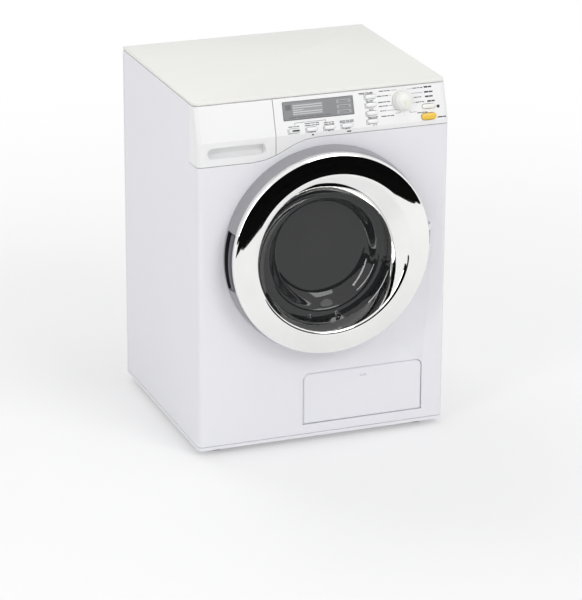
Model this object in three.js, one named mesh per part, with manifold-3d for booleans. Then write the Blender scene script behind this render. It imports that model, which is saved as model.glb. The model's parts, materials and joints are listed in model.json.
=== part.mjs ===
// Toy front-loading washing machine: a plastic cabinet with a slanted control panel, a round
// chrome door on a side hinge, a detergent drawer, sprung keys, a selector knob and a drum that
// a small geared motor turns.
// Millimetres. +X is to the right seen from the front, +Y runs into the machine, +Z is up.
// The origin is on the floor, under the middle of the outer box.
import * as THREE from 'three';
import { mergeVertices } from 'three/addons/utils/BufferGeometryUtils.js';
import Module from 'manifold-3d';

const wasm = await Module();
wasm.setup();

// Outer box and walls
const width = 188;
const depth = 185;
const height = 260;
const wall = 2.2;
const gap = 0.3;
const seam = 0.5;
const sliver = 0.003;
const overrun = 1;
const cornerRadius = 4;
const doorStandOff = 19.5;

// Feet, base plate and lid
const foot = { height: 5, radius: 8, inset: 17, stemRadius: 3, chamfer: 1 };
const base = { thickness: 2.4, rimHeight: 3.5, rimThickness: 1.6 };
const lid = {
  thickness: 2.4, bevel: 0.7, rimDepth: 3.6, rimThickness: 1.6, rimFront: 24, rimBack: 11,
};

// Control panel: an upright skirt, a crease, and a face that leans back
// Places across the panel are shares of half the width
const panel = { thickness: 2, slopeRise: 27.1, slantRun: 9, moduleDepth: 17, seamShare: -0.3851 };
const parting = { leftDrop: 16.9, rightDrop: 3.1, startShare: -0.57447, endShare: -0.04255, easeShare: 0.46 };
const display = {
  leftShare: -0.31064, rightShare: 0.24362, low: 10.1, high: 22.7, flange: 1.2, flangeDepth: 1, proud: 0.3,
};
const key = {
  width: 8, height: 3, proud: 0.9, travel: 1.2, flange: 0.9, flangeDepth: 1, stemRadius: 1.1,
  switchSize: 3.2, switchHeight: 3,
};
const optionKey = { firstShare: -0.23936, pitchShare: 0.13936, v: 2.5, count: 4 };
const settingKey = { xShare: 0.38511, firstV: 3.5, pitch: 5.75, count: 4 };
const doorKey = { xShare: 0.84255, v: 10, width: 9.8, height: 3.2 };
const startKey = { xShare: 0.83511, v: 2.9, width: 11, height: 4.6, proud: 1.6 };
const knob = {
  xShare: 0.63617, v: 15.7, radius: 7.5, faceRadius: 5.6, height: 5.8, skirt: 1.4, shaftRadius: 2,
  shaftLength: 9, bevel: 0.7, pointerWidth: 0.9, pointerLength: 3.2, pointerProud: 0.3,
};
const board = {
  leftInset: 3.2, rightInset: 6, low: -1, high: 23.5, standOff: 10, thickness: 1.6, postRadius: 2,
  chipShare: 0.0213, chipV: 15, chipWidth: 16, chipHeight: 9, chipThickness: 2.4,
};
// Board posts: shares of half the width, and of the board's height
const boardPostShares = [
  [-0.32979, 0.2245], [0.29468, 0.8776], [0.29468, 0.1429], [0.7234, 0.1429], [0.89362, 0.8776],
];
const selector = { size: 12, height: 6 };

// Detergent drawer
const drawer = {
  gripSideInset: 7.6, gripSeamInset: 7.4, gripRise: 5.2, gripHeight: 7.7, gripDepth: 6.5, gripWall: 1.6,
  gripSlope: 2.4, trayWall: 1.5, trayHeight: 18, trayLength: 78, running: 0.5, dividerShare: 0.42,
  housingWall: 1.5, housingLift: 2.3, housingInset: 2.4, housingGap: 2, housingLength: 74,
  spoutRadius: 3.5, spoutLength: 6, spoutInset: 14,
};

// Door, seen from outside in: grey frame, chrome ring with its off-centre funnel, smoked bowl.
// Its diameter is a share of the height between the flap's foot and the panel; insets run in from
// its outer radius
const door = {
  diameterShare: 0.70112, belowPanel: 6.5, aboveFlap: 19.6, frontInset: 1.3, thickness: 19.2, wall: 2.2,
  backPlate: 1.8, stepInset: 17.8, stepDepth: 2.5, stepWall: 1.5, shoulder: 4.7, frameDepth: 14.9,
  holeInset: 31.3, holeDrop: 5.5,
};
const ring = {
  inset: 1.4, crestInset: 17.9, frontInset: 12.8, rimInset: 27.5, rimDrop: 6, wall: 1.2, edge: 1.4,
  rimDepth: 18.1, crestDepth: 1.1, bandShares: [[0.1, 0.42], [0.5, 0.86]], innerShare: 0.16,
  funnelShares: [[0, 0], [0.48, 0.32], [0.96, 0.64], [1, 1]],
};
const bowl = {
  flangeInset: 19.7, mouthInset: 33.3, wallInset: 38.3, discInset: 42.3, mouthDrop: 5, discDrop: 2.2,
  depth: 9.3, thickness: 1.3, lipShare: 0.7, wallShares: [0.6, 0.36], cornerShares: [0.92, 0.85],
};
const grip = {
  windowShare: 0.092, barShare: 0.0902, plateShare: 0.1, windowFront: 13.2, windowBack: 2.2, barFront: 12.7,
  barBack: 7.2, barLowInset: 4.3, barHighInset: 0.7, plateLowInset: 6.3, plateHighInset: 4, plateFront: 13.9,
};
const hinge = {
  outset: 1.9, standOff: 3.8, radius: 2.2, pinRadius: 1.2, half: 5, lugHeight: 4.4, leafThickness: 1,
  leafHalf: 11, leafLeft: 4.2, leafRight: 2.6, armHalf: 4.4, armThickness: 2.2, plateLeft: 15.2,
  plateRight: 7.2, plateHalf: 9, plateThickness: 1.6, notchLeft: 6.7, notchHalf: 13, notchDepth: 6.7,
  headRadius: 2.1, headHeight: 0.8,
};
const latch = {
  inset: 9.3, thickness: 2, half: 4, reach: 10.2, plateLeft: 2.2, plateRight: 3.2, plateHalf: 7,
  plateThickness: 1.6, play: 1.1, catchLeft: 5, catchRight: 3.8, catchHalf: 8.5, catchDepth: 7.6,
  catchBack: 1.5, catchPlayLeft: 1.6,
};

// Opening in the front, its seal, the tub and the drum
const mouth = { clearance: 2 };
const seal = { flangeOutset: 1.9, neckInset: 9.3, lipInset: 11.9, thickness: 1.5, length: 10.9, lead: 1.8 };
const tub = {
  outset: 6.5, wall: 2, start: 11, rearRoom: 55.5, lugOutset: 6, lugHalf: 4, webDepth: 6, webHalf: 2.5,
  lugs: 4,
};
const drum = {
  clearance: 5, wall: 1.3, mouthInset: 15, frontGap: 4.5, rearGap: 7, lip: 5.5, corner: 2, holeRadius: 2,
  holeRows: 3, holesRound: 9, rearHoleRadius: 4.5, rearHoles: 6, rearHoleShare: 0.6,
};
const lifter = { count: 3, baseWidth: 14, topWidth: 6, height: 11, endInset: 12 };

// Drive: shaft, bearing, gears, bracket and motor
const shaft = {
  radius: 4, capRadius: 9, capDepth: 2.4, flangeRadius: 12, flangeDepth: 2, clipRadius: 6.4, clipDepth: 1.2,
};
const bearing = { radius: 7, flangeRadius: 11, flangeDepth: 2, lead: 1.5 };
const gears = {
  module: 1.25, drumTeeth: 48, idlerTeeth: 12, wheelTeeth: 32, pinionTeeth: 10, addendumShare: 0.82,
  dedendumShare: 1.18, tipShare: 0.12, rootShare: 0.32, start: 5, drumDepth: 6, pinionDepth: 4,
  planeGap: 2, idlerTurnShare: -1 / 6, pinionTurnShare: -5 / 18, hubRadius: 8, holeRadius: 5.5,
  holes: 4, holeShare: 0.62,
};
const bracket = {
  thickness: 2, leftReach: 43, rightReach: 28.25, lowReach: 9.7, highReach: 15, corner: 6, postRadius: 3.2,
  clearance: 4, hubHole: 10,
};
// Bracket posts, from the drum's axis, in shares of the distance to the idler
const bracketPostShares = [[-1.0133, 0], [1.04, 0.0533], [1.0933, -1.2], [-0.3733, -1.28]];
const motor = {
  radius: 12, length: 25, bossRadius: 4, shaftRadius: 1.1, shaftReach: 13, boreDepth: 12, pinRadius: 2,
};

// Rear: cover, batteries, loudspeaker, screws and wiring
const rear = {
  thickness: 2.2, rimDepth: 6, rimThickness: 1.6, rimInset: 4.6, ventWidth: 2.6, ventHeight: 26,
  vents: 5, ventPitch: 6,
};
const battery = {
  halfWidth: 32, low: 16, belowMotor: 2.17, depth: 17.5, wall: 1.6, coverInset: 2.4, rimDepth: 3.6,
  rimThickness: 1.2, bossRadius: 3, bossDrop: 8.4,
};
const speaker = {
  sideInset: 39, drop: 57, radius: 18, rim: 3, rimDepth: 2.2, magnetRadius: 9, magnetDepth: 5, depth: 12,
};
const screw = {
  headRadius: 3, headHeight: 1.3, shankRadius: 1.2, length: 10, slotWidth: 0.8, slotDepth: 0.6,
  bossRadius: 4, bossLength: 20, webHalf: 2, sideInset: 11.4, lowZ: 22, highDrop: 17,
};
const loom = { radius: 1.6, sides: 6, steps: 22, riseShare: 0.9 };

// Service flap at the bottom right of the front
const flap = {
  rightInset: 17.6, width: 91, low: 15, corner: 4.5, thickness: 2, bevel: 0.9, pocketDepth: 12,
  pocketWall: 1.8, axis: 1.5, pinRadius: 0.6, pinLength: 1.2, notchWidth: 5, notchDrop: 5, notchHeight: 1.6,
  notchDepth: 0.9,
};

// Roundness, in steps
const steps = { ring: 40, drum: 36, wheel: 20, rod: 12, screw: 8, hole: 6, corner: 3, key: 2, end: 6 };

// Places that follow from the sizes: outer box and panel
const halfWidth = width / 2;
const rearY = depth / 2;
const frontY = doorStandOff - rearY;
const wallBack = frontY + wall;
const baseTop = foot.height + base.thickness;
const shellLow = baseTop + gap;
const lidLow = height - lid.thickness;
const shellHigh = lidLow - gap;
const shellRear = rearY - rear.thickness - gap;
const moduleBack = frontY + panel.moduleDepth;
const creaseZ = height - panel.slopeRise;
const slant = Math.atan2(panel.slantRun, panel.slopeRise);
const seamX = halfWidth * panel.seamShare;
const partingLeftZ = creaseZ - parting.leftDrop;
const partingRightZ = creaseZ - parting.rightDrop;
const knobX = halfWidth * knob.xShare;
const boardN = -panel.thickness - board.standOff;
const boardX = [seamX + board.leftInset, halfWidth - board.rightInset];
const gripX = [-halfWidth + drawer.gripSideInset, seamX - drawer.gripSeamInset];
const gripZ = [partingLeftZ + drawer.gripRise, partingLeftZ + drawer.gripRise + drawer.gripHeight];
const housingX = [-halfWidth + wall + gap, seamX - drawer.housingInset];
const housingLow = partingLeftZ + drawer.housingLift;
const trayLow = housingLow + drawer.housingWall + drawer.running;
const trayFront = frontY + drawer.gripDepth + drawer.gripWall + gap;

// Door, opening, tub and drum
const doorRadius = (partingRightZ - flap.low) * door.diameterShare / 2;
const doorZ = partingRightZ - door.belowPanel - doorRadius;
const doorBack = frontY - gap;
const doorFront = doorBack - door.thickness;
const frameFront = doorBack - door.frameDepth;
const hingeX = doorRadius + hinge.outset;
const hingeY = frontY - hinge.standOff;
const latchX = latch.inset - doorRadius;
const mouthRadius = doorRadius - door.stepInset + mouth.clearance;
const tubRadius = mouthRadius + tub.outset;
const tubFront = frontY + tub.start;
const tubRear = rearY - tub.rearRoom;
const drumRadius = tubRadius - drum.clearance;
const drumFront = tubFront + drum.frontGap;
const drumRear = tubRear - drum.rearGap;
const drumGearY = [tubRear + gears.start, tubRear + gears.start + gears.drumDepth];
const pinionY = [drumGearY[1] + gears.planeGap, drumGearY[1] + gears.planeGap + gears.pinionDepth];
const bracketY = [pinionY[1] + bracket.clearance, pinionY[1] + bracket.clearance + bracket.thickness];

// Service flap, loudspeaker and rear screws
const flapX = [halfWidth - flap.rightInset - flap.width, halfWidth - flap.rightInset];
const flapZ = [flap.low, doorZ - doorRadius - door.aboveFlap];
const flapAxis = [frontY + flap.axis, flap.low + flap.axis];
const speakerX = speaker.sideInset - halfWidth;
const speakerZ = height - speaker.drop;
const screwX = halfWidth - screw.sideInset;
const screwZ = [screw.lowZ, height - screw.highDrop];

// Centres of the idler and of the motor, worked out from the pitch circles
const pitchRadius = (teeth) => gears.module * teeth / 2;
const wheelTurn = 2 * Math.PI * gears.idlerTurnShare;
const pinionTurn = 2 * Math.PI * gears.pinionTurnShare;
const idlerReach = pitchRadius(gears.drumTeeth) + pitchRadius(gears.idlerTeeth);
const pinionReach = pitchRadius(gears.wheelTeeth) + pitchRadius(gears.pinionTeeth);
const idlerX = idlerReach * Math.cos(wheelTurn);
const idlerZ = doorZ + idlerReach * Math.sin(wheelTurn);
const motorX = idlerX + pinionReach * Math.cos(pinionTurn);
const motorZ = idlerZ + pinionReach * Math.sin(pinionTurn);
const bracketX = [-bracket.leftReach, idlerX + bracket.rightReach];
const bracketZ = [motorZ - bracket.lowReach, doorZ + bracket.highReach];
const batteryHigh = motorZ - motor.radius - battery.belowMotor;

// Finishes
const looks = {
  white: { color: 0xe9e9ef, roughness: 0.3, metalness: 0 },
  cream: { color: 0xe9e9e2, roughness: 0.35, metalness: 0 },
  chrome: { color: 0xdfe0e0, roughness: 0.06, metalness: 1 },
  grey: { color: 0x8f8f98, roughness: 0.45, metalness: 0 },
  dark: { color: 0x4b4a55, roughness: 0.5, metalness: 0 },
  smoke: { color: 0x3c3e40, roughness: 0.08, metalness: 0, transparent: true, opacity: 0.7 },
  screen: { color: 0x96999b, roughness: 0.2, metalness: 0 },
  yellow: { color: 0xf6cc4a, roughness: 0.3, metalness: 0 },
  silver: { color: 0xb9bcc0, roughness: 0.35, metalness: 0.8 },
  steel: { color: 0xa9acb0, roughness: 0.3, metalness: 1 },
  rubber: { color: 0x707078, roughness: 0.8, metalness: 0 },
  natural: { color: 0xdcd9cc, roughness: 0.5, metalness: 0 },
  green: { color: 0x2f6b45, roughness: 0.5, metalness: 0 },
  black: { color: 0x1d1d20, roughness: 0.5, metalness: 0 },
};

// Closed solid of a three.js geometry, with its faces turned outwards
function solid(geometry) {
  geometry.deleteAttribute('normal');
  geometry.deleteAttribute('uv');
  const merged = mergeVertices(geometry);
  const at = merged.attributes.position.array;
  const corner = (i) => new THREE.Vector3(at[3 * i], at[3 * i + 1], at[3 * i + 2]);
  const kept = [];
  let volume = 0;
  for (let i = 0; i < merged.index.count; i += 3) {
    const [a, b, c] = [0, 1, 2].map((j) => merged.index.getX(i + j));
    if (a === b || b === c || c === a) continue;
    volume += corner(a).dot(corner(b).cross(corner(c)));
    kept.push([a, b, c]);
  }
  const triangles = volume < 0 ? kept.map(([a, b, c]) => [a, c, b]) : kept;
  return new wasm.Manifold(new wasm.Mesh({
    numProp: 3,
    vertProperties: new Float32Array(at),
    triVerts: new Uint32Array(triangles.flat()),
  }));
}

// Named mesh of a solid, hung in a group
function place(parent, name, shape, look) {
  const mesh = shape.getMesh();
  const geometry = new THREE.BufferGeometry();
  geometry.setAttribute('position', new THREE.BufferAttribute(mesh.vertProperties, mesh.numProp));
  geometry.setIndex(new THREE.BufferAttribute(mesh.triVerts, 1));
  geometry.computeVertexNormals();
  const piece = new THREE.Mesh(geometry, new THREE.MeshStandardMaterial(looks[look]));
  piece.name = name;
  parent.add(piece);
}

const join = (first, ...others) => others.reduce((sum, other) => sum.add(other), first);
const cut = (first, ...others) => others.reduce((rest, other) => rest.subtract(other), first);
const grown = (limits, by) => [limits[0] - by, limits[1] + by];
const around = (centre, half) => [centre - half, centre + half];
const ordered = (a, b) => [Math.min(a, b), Math.max(a, b)];

// Block between pairs of limits
function block(x, y, z) {
  const geometry = new THREE.BoxGeometry(x[1] - x[0], y[1] - y[0], z[1] - z[0]);
  geometry.translate((x[0] + x[1]) / 2, (y[0] + y[1]) / 2, (z[0] + z[1]) / 2);
  return solid(geometry);
}

// Round rods along each axis
function rodY(radius, y, x, z, sides = steps.rod) {
  const geometry = new THREE.CylinderGeometry(radius, radius, y[1] - y[0], sides);
  geometry.translate(x, (y[0] + y[1]) / 2, z);
  return solid(geometry);
}

function rodZ(radius, z, x, y, sides = steps.rod) {
  const geometry = new THREE.CylinderGeometry(radius, radius, z[1] - z[0], sides);
  geometry.rotateX(Math.PI / 2);
  geometry.translate(x, y, (z[0] + z[1]) / 2);
  return solid(geometry);
}

function rodX(radius, x, y, z, sides = steps.screw) {
  const geometry = new THREE.CylinderGeometry(radius, radius, x[1] - x[0], sides);
  geometry.rotateZ(Math.PI / 2);
  geometry.translate((x[0] + x[1]) / 2, y, z);
  return solid(geometry);
}

function extrusion(shape, length, curveSegments = steps.corner) {
  return new THREE.ExtrudeGeometry(shape, { depth: length, bevelEnabled: false, curveSegments });
}

// Slab whose outline is drawn from the front, x across and z up
function frontSlab(shape, y, curveSegments) {
  const geometry = extrusion(shape, y[1] - y[0], curveSegments);
  geometry.rotateX(Math.PI / 2);
  geometry.translate(0, y[1], 0);
  return solid(geometry);
}

// Bar whose section is drawn from the side, y across and z up
function sideBar(shape, x) {
  const geometry = extrusion(shape, x[1] - x[0]);
  const across = new THREE.Vector3(0, 1, 0);
  const up = new THREE.Vector3(0, 0, 1);
  geometry.applyMatrix4(new THREE.Matrix4().makeBasis(across, up, across.clone().cross(up)));
  geometry.translate(x[0], 0, 0);
  return solid(geometry);
}

// Slab whose outline is drawn from above; its upper end can lean back
function planSlab(shape, z, lean = 0) {
  const geometry = extrusion(shape, z[1] - z[0]);
  geometry.applyMatrix4(new THREE.Matrix4().makeShear(0, 0, 0, 0, 0, lean));
  geometry.translate(0, 0, z[0]);
  return solid(geometry);
}

function polygon(points) {
  const shape = new THREE.Shape();
  points.forEach(([x, y], i) => (i ? shape.lineTo(x, y) : shape.moveTo(x, y)));
  shape.closePath();
  return shape;
}

function circle(x, y, radius) {
  const shape = new THREE.Shape();
  shape.absarc(x, y, radius, 0, 2 * Math.PI);
  return shape;
}

// Rectangle with rounded corners; with a large radius its ends are half circles
function roundedRect(x, y, radius) {
  const shape = new THREE.Shape();
  const r = Math.min(radius, (x[1] - x[0]) / 2 - sliver, (y[1] - y[0]) / 2 - sliver);
  shape.moveTo(x[0] + r, y[0]);
  shape.lineTo(x[1] - r, y[0]);
  shape.absarc(x[1] - r, y[0] + r, r, -Math.PI / 2, 0);
  shape.lineTo(x[1], y[1] - r);
  shape.absarc(x[1] - r, y[1] - r, r, 0, Math.PI / 2);
  shape.lineTo(x[0] + r, y[1]);
  shape.absarc(x[0] + r, y[1] - r, r, Math.PI / 2, Math.PI);
  shape.lineTo(x[0], y[0] + r);
  shape.absarc(x[0] + r, y[0] + r, r, Math.PI, 1.5 * Math.PI);
  return shape;
}

// Rectangle with square lower corners and rounded upper ones
function archedRect(x, y, r) {
  const shape = new THREE.Shape();
  shape.moveTo(x[0], y[0]);
  shape.lineTo(x[1], y[0]);
  shape.lineTo(x[1], y[1] - r);
  shape.absarc(x[1] - r, y[1] - r, r, 0, Math.PI / 2);
  shape.lineTo(x[0] + r, y[1]);
  shape.absarc(x[0] + r, y[1] - r, r, Math.PI / 2, Math.PI);
  shape.closePath();
  return shape;
}

// Turned piece round an axis along Y; each point is a radius, a y and how far its circle drops
function turned(points, x, z, sides = steps.ring) {
  const profile = points.map(([radius, y]) => new THREE.Vector2(radius, y));
  profile.push(profile[0].clone());
  const geometry = new THREE.LatheGeometry(profile, sides);
  const at = geometry.attributes.position;
  for (let i = 0; i < at.count; i += 1) {
    const drop = points[(i % profile.length) % points.length][2] ?? 0;
    at.setXYZ(i, at.getX(i) + x, at.getY(i), at.getZ(i) + z - drop);
  }
  return solid(geometry);
}

// Outline of the cabinet seen from above, rounded at its front corners
function cabinetPlan(inset, back) {
  const x = halfWidth - inset;
  const front = frontY + inset;
  const r = Math.max(cornerRadius - inset, gap);
  const shape = new THREE.Shape();
  shape.moveTo(-x, back);
  shape.lineTo(-x, front + r);
  shape.absarc(-x + r, front + r, r, Math.PI, 1.5 * Math.PI);
  shape.lineTo(x - r, front);
  shape.absarc(x - r, front + r, r, 1.5 * Math.PI, 2 * Math.PI);
  shape.lineTo(x, back);
  shape.closePath();
  return shape;
}

// Everything above the curved line that parts the panel and the drawer from the front wall
function abovePartingLine(drop) {
  const [startX, endX] = [halfWidth * parting.startShare, halfWidth * parting.endShare];
  const [leftZ, rightZ] = [partingLeftZ - drop, partingRightZ - drop];
  const ease = (endX - startX) * parting.easeShare;
  const side = halfWidth + overrun;
  const shape = new THREE.Shape();
  shape.moveTo(-side, leftZ);
  shape.lineTo(startX, leftZ);
  shape.bezierCurveTo(startX + ease, leftZ, endX - ease, rightZ, endX, rightZ);
  shape.lineTo(side, rightZ);
  shape.lineTo(side, height + overrun);
  shape.lineTo(-side, height + overrun);
  shape.closePath();
  return frontSlab(shape, [frontY - overrun, moduleBack], steps.end);
}

// Front wall and both side walls
function cabinetWalls() {
  const z = [shellLow, shellHigh];
  const inside = planSlab(cabinetPlan(wall, shellRear + overrun), grown(z, overrun));
  return cut(planSlab(cabinetPlan(0, shellRear), z), inside, abovePartingLine(seam));
}

// Pocket behind the service flap, with a hole at each end for the flap's pins
function addFlapPocket(shell) {
  const { pocketWall, pocketDepth, corner } = flap;
  const x = grown(flapX, seam);
  const z = grown(flapZ, seam);
  const outside = archedRect(grown(x, pocketWall), grown(z, pocketWall), corner + pocketWall);
  const tray = frontSlab(outside, [frontY + wall / 2, frontY + pocketDepth]);
  const hollowY = [frontY - overrun, frontY + pocketDepth - pocketWall];
  const hollow = frontSlab(archedRect(x, z, corner + seam), hollowY);
  const pinHole = rodX(flap.pinRadius + gap, grown(x, flap.pinLength), ...flapAxis);
  return cut(join(shell, tray), hollow, pinHole);
}

const rearScrews = screwZ.flatMap((z) => [[-screwX, z], [screwX, z]]);

// Boss for a rear screw, held to the side wall by a web
function screwBoss(x, z) {
  const y = [shellRear - screw.bossLength, shellRear];
  const webX = ordered(x, Math.sign(x) * (halfWidth - wall / 2));
  const web = block(webX, [y[0], shellRear - rear.rimDepth - seam], around(z, screw.webHalf));
  return join(rodY(screw.bossRadius, y, x, z), web);
}

function screwPilot(x, z) {
  return rodY(screw.shankRadius + gap, [rearY - screw.length - gap, rearY], x, z, steps.screw);
}

function cabinetShell() {
  let shell = addFlapPocket(cabinetWalls());
  const through = [frontY - overrun, wallBack + overrun];
  shell = cut(shell, rodY(mouthRadius, through, 0, doorZ, steps.ring));
  const slotX = around(latchX, latch.thickness / 2 + latch.play);
  shell = cut(shell, block(slotX, through, around(doorZ, latch.half + latch.play)));
  for (const [x, z] of rearScrews) shell = cut(join(shell, screwBoss(x, z)), screwPilot(x, z));
  return shell;
}

const footX = halfWidth - foot.inset;
const footPlaces = [
  [-footX, frontY + foot.inset], [footX, frontY + foot.inset],
  [-footX, rearY - foot.inset], [footX, rearY - foot.inset],
];

// Base plate with a rim that stands up inside the walls, and holes for the feet
function basePlate() {
  const rimZ = [baseTop - overrun, baseTop + base.rimHeight];
  const inset = wall + gap;
  const back = shellRear - rear.rimDepth - seam;
  const insidePlan = cabinetPlan(inset + base.rimThickness, back - base.rimThickness);
  const rim = cut(planSlab(cabinetPlan(inset, back), rimZ), planSlab(insidePlan, grown(rimZ, overrun)));
  const holes = footPlaces.map(([x, y]) => rodZ(foot.stemRadius + gap, [0, shellLow], x, y));
  return cut(join(planSlab(cabinetPlan(0, rearY), [foot.height, baseTop]), rim), ...holes);
}

// Round foot with a stem that is pressed into the base plate
function footSolid([x, y]) {
  const r = foot.radius;
  const top = foot.height - gap;
  const profile = [
    [0, 0], [r - foot.chamfer, 0], [r, foot.chamfer], [r, top], [foot.stemRadius, top],
    [foot.stemRadius, baseTop], [0, baseTop],
  ];
  const geometry = new THREE.LatheGeometry(profile.map(([a, b]) => new THREE.Vector2(a, b)), steps.rod);
  geometry.rotateX(Math.PI / 2);
  geometry.translate(x, y, 0);
  return solid(geometry);
}

// Lid: a thin plate whose front edge lies over the slanted panel, with a rim inside the walls
function topPlate() {
  const b = lid.bevel;
  const x = halfWidth - b;
  const front = frontY + (lidLow - creaseZ) * Math.tan(slant) + b;
  const r = cornerRadius;
  const plan = new THREE.Shape();
  plan.moveTo(-x, rearY - b);
  plan.lineTo(-x, front + r);
  plan.absarc(-x + r, front + r, r, Math.PI, 1.5 * Math.PI);
  plan.lineTo(x - r, front);
  plan.absarc(x - r, front + r, r, 1.5 * Math.PI, 2 * Math.PI);
  plan.lineTo(x, rearY - b);
  plan.closePath();
  const geometry = new THREE.ExtrudeGeometry(plan, {
    depth: lid.thickness - 2 * b,
    bevelThickness: b,
    bevelSize: b,
    bevelSegments: 2,
    curveSegments: steps.corner,
  });
  geometry.translate(0, 0, lidLow + b);
  const rimX = around(0, halfWidth - wall - gap);
  const rimY = [frontY + lid.rimFront, rearY - lid.rimBack];
  const insideZ = [shellHigh - lid.rimDepth, lidLow];
  const inside = block(grown(rimX, -lid.rimThickness), grown(rimY, -lid.rimThickness), insideZ);
  const rim = block(rimX, rimY, [lidLow - lid.rimDepth, lidLow + lid.thickness / 2]);
  return join(solid(geometry), cut(rim, inside));
}

// Section of the panel and the drawer front: upright skirt, slanted face and top flange
function moduleSection(hollow) {
  const t = panel.thickness;
  const low = partingLeftZ - overrun;
  const back = moduleBack - gap;
  const topY = frontY + (shellHigh - creaseZ) * Math.tan(slant);
  const outer = [[frontY, low], [frontY, creaseZ], [topY, shellHigh], [back, shellHigh]];
  if (!hollow) return polygon([...outer, [back, low]]);
  const flangeLow = shellHigh - t;
  const faceY = frontY + t / Math.cos(slant) + (flangeLow - creaseZ) * Math.tan(slant);
  const creaseLow = creaseZ - t * Math.tan(slant / 2);
  const inner = [[back, flangeLow], [faceY, flangeLow], [frontY + t, creaseLow], [frontY + t, low]];
  return polygon([...outer, ...inner]);
}

// Room inside the cabinet's outer faces at the height of the panel, with its rounded edges
function panelRoom() {
  const back = frontY + 2 * panel.moduleDepth;
  const upright = planSlab(cabinetPlan(0, back), [partingLeftZ - overrun, creaseZ]);
  const leaning = planSlab(cabinetPlan(0, back), [creaseZ, shellHigh], Math.tan(slant));
  return join(upright, leaning);
}

// Skirt, face and flange between two ends, each end closed by a wall
function moduleBody(x) {
  const t = panel.thickness;
  const ends = [[x[0], x[0] + t], [x[1] - t, x[1]]].map((end) => sideBar(moduleSection(false), end));
  const body = join(sideBar(moduleSection(true), x), ...ends);
  return body.intersect(panelRoom()).intersect(abovePartingLine(0));
}

// Places on the slanted face: u across, v up the slope, n out of it
const panelFrame = new THREE.Matrix4().makeRotationX(Math.PI / 2 - slant).setPosition(0, frontY, creaseZ);

function panelSlab(shape, n, curveSegments = steps.end) {
  const geometry = extrusion(shape, n[1] - n[0], curveSegments);
  geometry.translate(0, 0, n[0]);
  geometry.applyMatrix4(panelFrame);
  return solid(geometry);
}

function panelBlock(u, v, n) {
  return panelSlab(polygon([[u[0], v[0]], [u[1], v[0]], [u[1], v[1]], [u[0], v[1]]]), n);
}

// Piece turned about a line that stands square on the slanted face
function panelTurned(points, u, v, sides) {
  const profile = points.map(([radius, n]) => new THREE.Vector2(radius, n));
  const geometry = new THREE.LatheGeometry(profile, sides);
  geometry.rotateX(Math.PI / 2);
  geometry.translate(u, v, 0);
  geometry.applyMatrix4(panelFrame);
  return solid(geometry);
}

// Every key: name, centre on the panel, size and finish
const smallKey = { width: key.width, height: key.height, proud: key.proud, look: 'white' };
const optionKeys = Array.from({ length: optionKey.count }, (_, i) => {
  const x = halfWidth * (optionKey.firstShare + i * optionKey.pitchShare);
  return { ...smallKey, name: `option_key_${i + 1}`, x, v: optionKey.v };
});
const settingKeys = Array.from({ length: settingKey.count }, (_, i) => {
  const v = settingKey.firstV + i * settingKey.pitch;
  return { ...smallKey, name: `setting_key_${i + 1}`, x: halfWidth * settingKey.xShare, v };
});
const keys = [
  ...optionKeys, ...settingKeys,
  { ...smallKey, ...doorKey, name: 'door_key', x: halfWidth * doorKey.xShare, look: 'cream' },
  { ...smallKey, ...startKey, name: 'start_key', x: halfWidth * startKey.xShare, look: 'yellow' },
];

function keyOutline(item, growth) {
  const u = around(item.x, item.width / 2 + growth);
  const v = around(item.v, item.height / 2 + growth);
  return roundedRect(u, v, item.height / 2 + growth);
}

// Oval key cap with a retaining flange behind the panel and a stem towards its switch
function keySolid(item) {
  const back = -panel.thickness - gap - key.flangeDepth;
  const stemEnd = boardN + key.switchHeight + key.travel + gap;
  return join(
    panelSlab(keyOutline(item, 0), [back, item.proud], steps.key),
    panelSlab(keyOutline(item, key.flange), [back, back + key.flangeDepth], steps.key),
    panelSlab(circle(item.x, item.v, key.stemRadius), [stemEnd, back + key.flangeDepth / 2], steps.corner),
  );
}

const displayU = [halfWidth * display.leftShare, halfWidth * display.rightShare];
const displayV = [display.low, display.high];

function controlFascia() {
  const posts = boardPostShares.map(([uShare, vShare]) => {
    const post = circle(halfWidth * uShare, board.low + (board.high - board.low) * vShare, board.postRadius);
    return panelSlab(post, [boardN + gap, -panel.thickness / 2], steps.corner);
  });
  const body = join(moduleBody([seamX + seam / 2, halfWidth]), ...posts);
  const through = [-panel.thickness - overrun, overrun];
  const holes = keys.map((item) => panelSlab(keyOutline(item, gap), through, steps.key));
  const screenHole = panelBlock(grown(displayU, gap), grown(displayV, gap), through);
  const shaftHole = panelSlab(circle(knobX, knob.v, knob.shaftRadius + gap), through);
  return cut(body, ...holes, screenHole, shaftHole);
}

function displayWindow() {
  const { flange, flangeDepth, proud } = display;
  const back = -panel.thickness - gap - flangeDepth;
  const rim = panelBlock(grown(displayU, flange), grown(displayV, flange), [back, back + flangeDepth]);
  return join(panelBlock(displayU, displayV, [back, proud]), rim);
}

// Circuit board with a switch under every key and a chip behind the display
function circuitBoard() {
  const face = [boardN - overrun, boardN + key.switchHeight];
  const switches = keys.map((item) => (
    panelBlock(around(item.x, key.switchSize / 2), around(item.v, key.switchSize / 2), face)));
  const chipU = around(halfWidth * board.chipShare, board.chipWidth / 2);
  const chipV = around(board.chipV, board.chipHeight / 2);
  const chip = panelBlock(chipU, chipV, [boardN - overrun, boardN + board.chipThickness]);
  const plate = panelBlock(boardX, [board.low, board.high], [boardN - board.thickness, boardN]);
  return join(plate, chip, ...switches);
}

// Rotary switch on the board that holds the knob's shaft
function selectorSwitch() {
  const n = [boardN + gap, boardN + gap + selector.height];
  const body = panelBlock(around(knobX, selector.size / 2), around(knob.v, selector.size / 2), n);
  return cut(body, panelSlab(circle(knobX, knob.v, knob.shaftRadius + gap), [-knob.shaftLength - gap, 0]));
}

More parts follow.
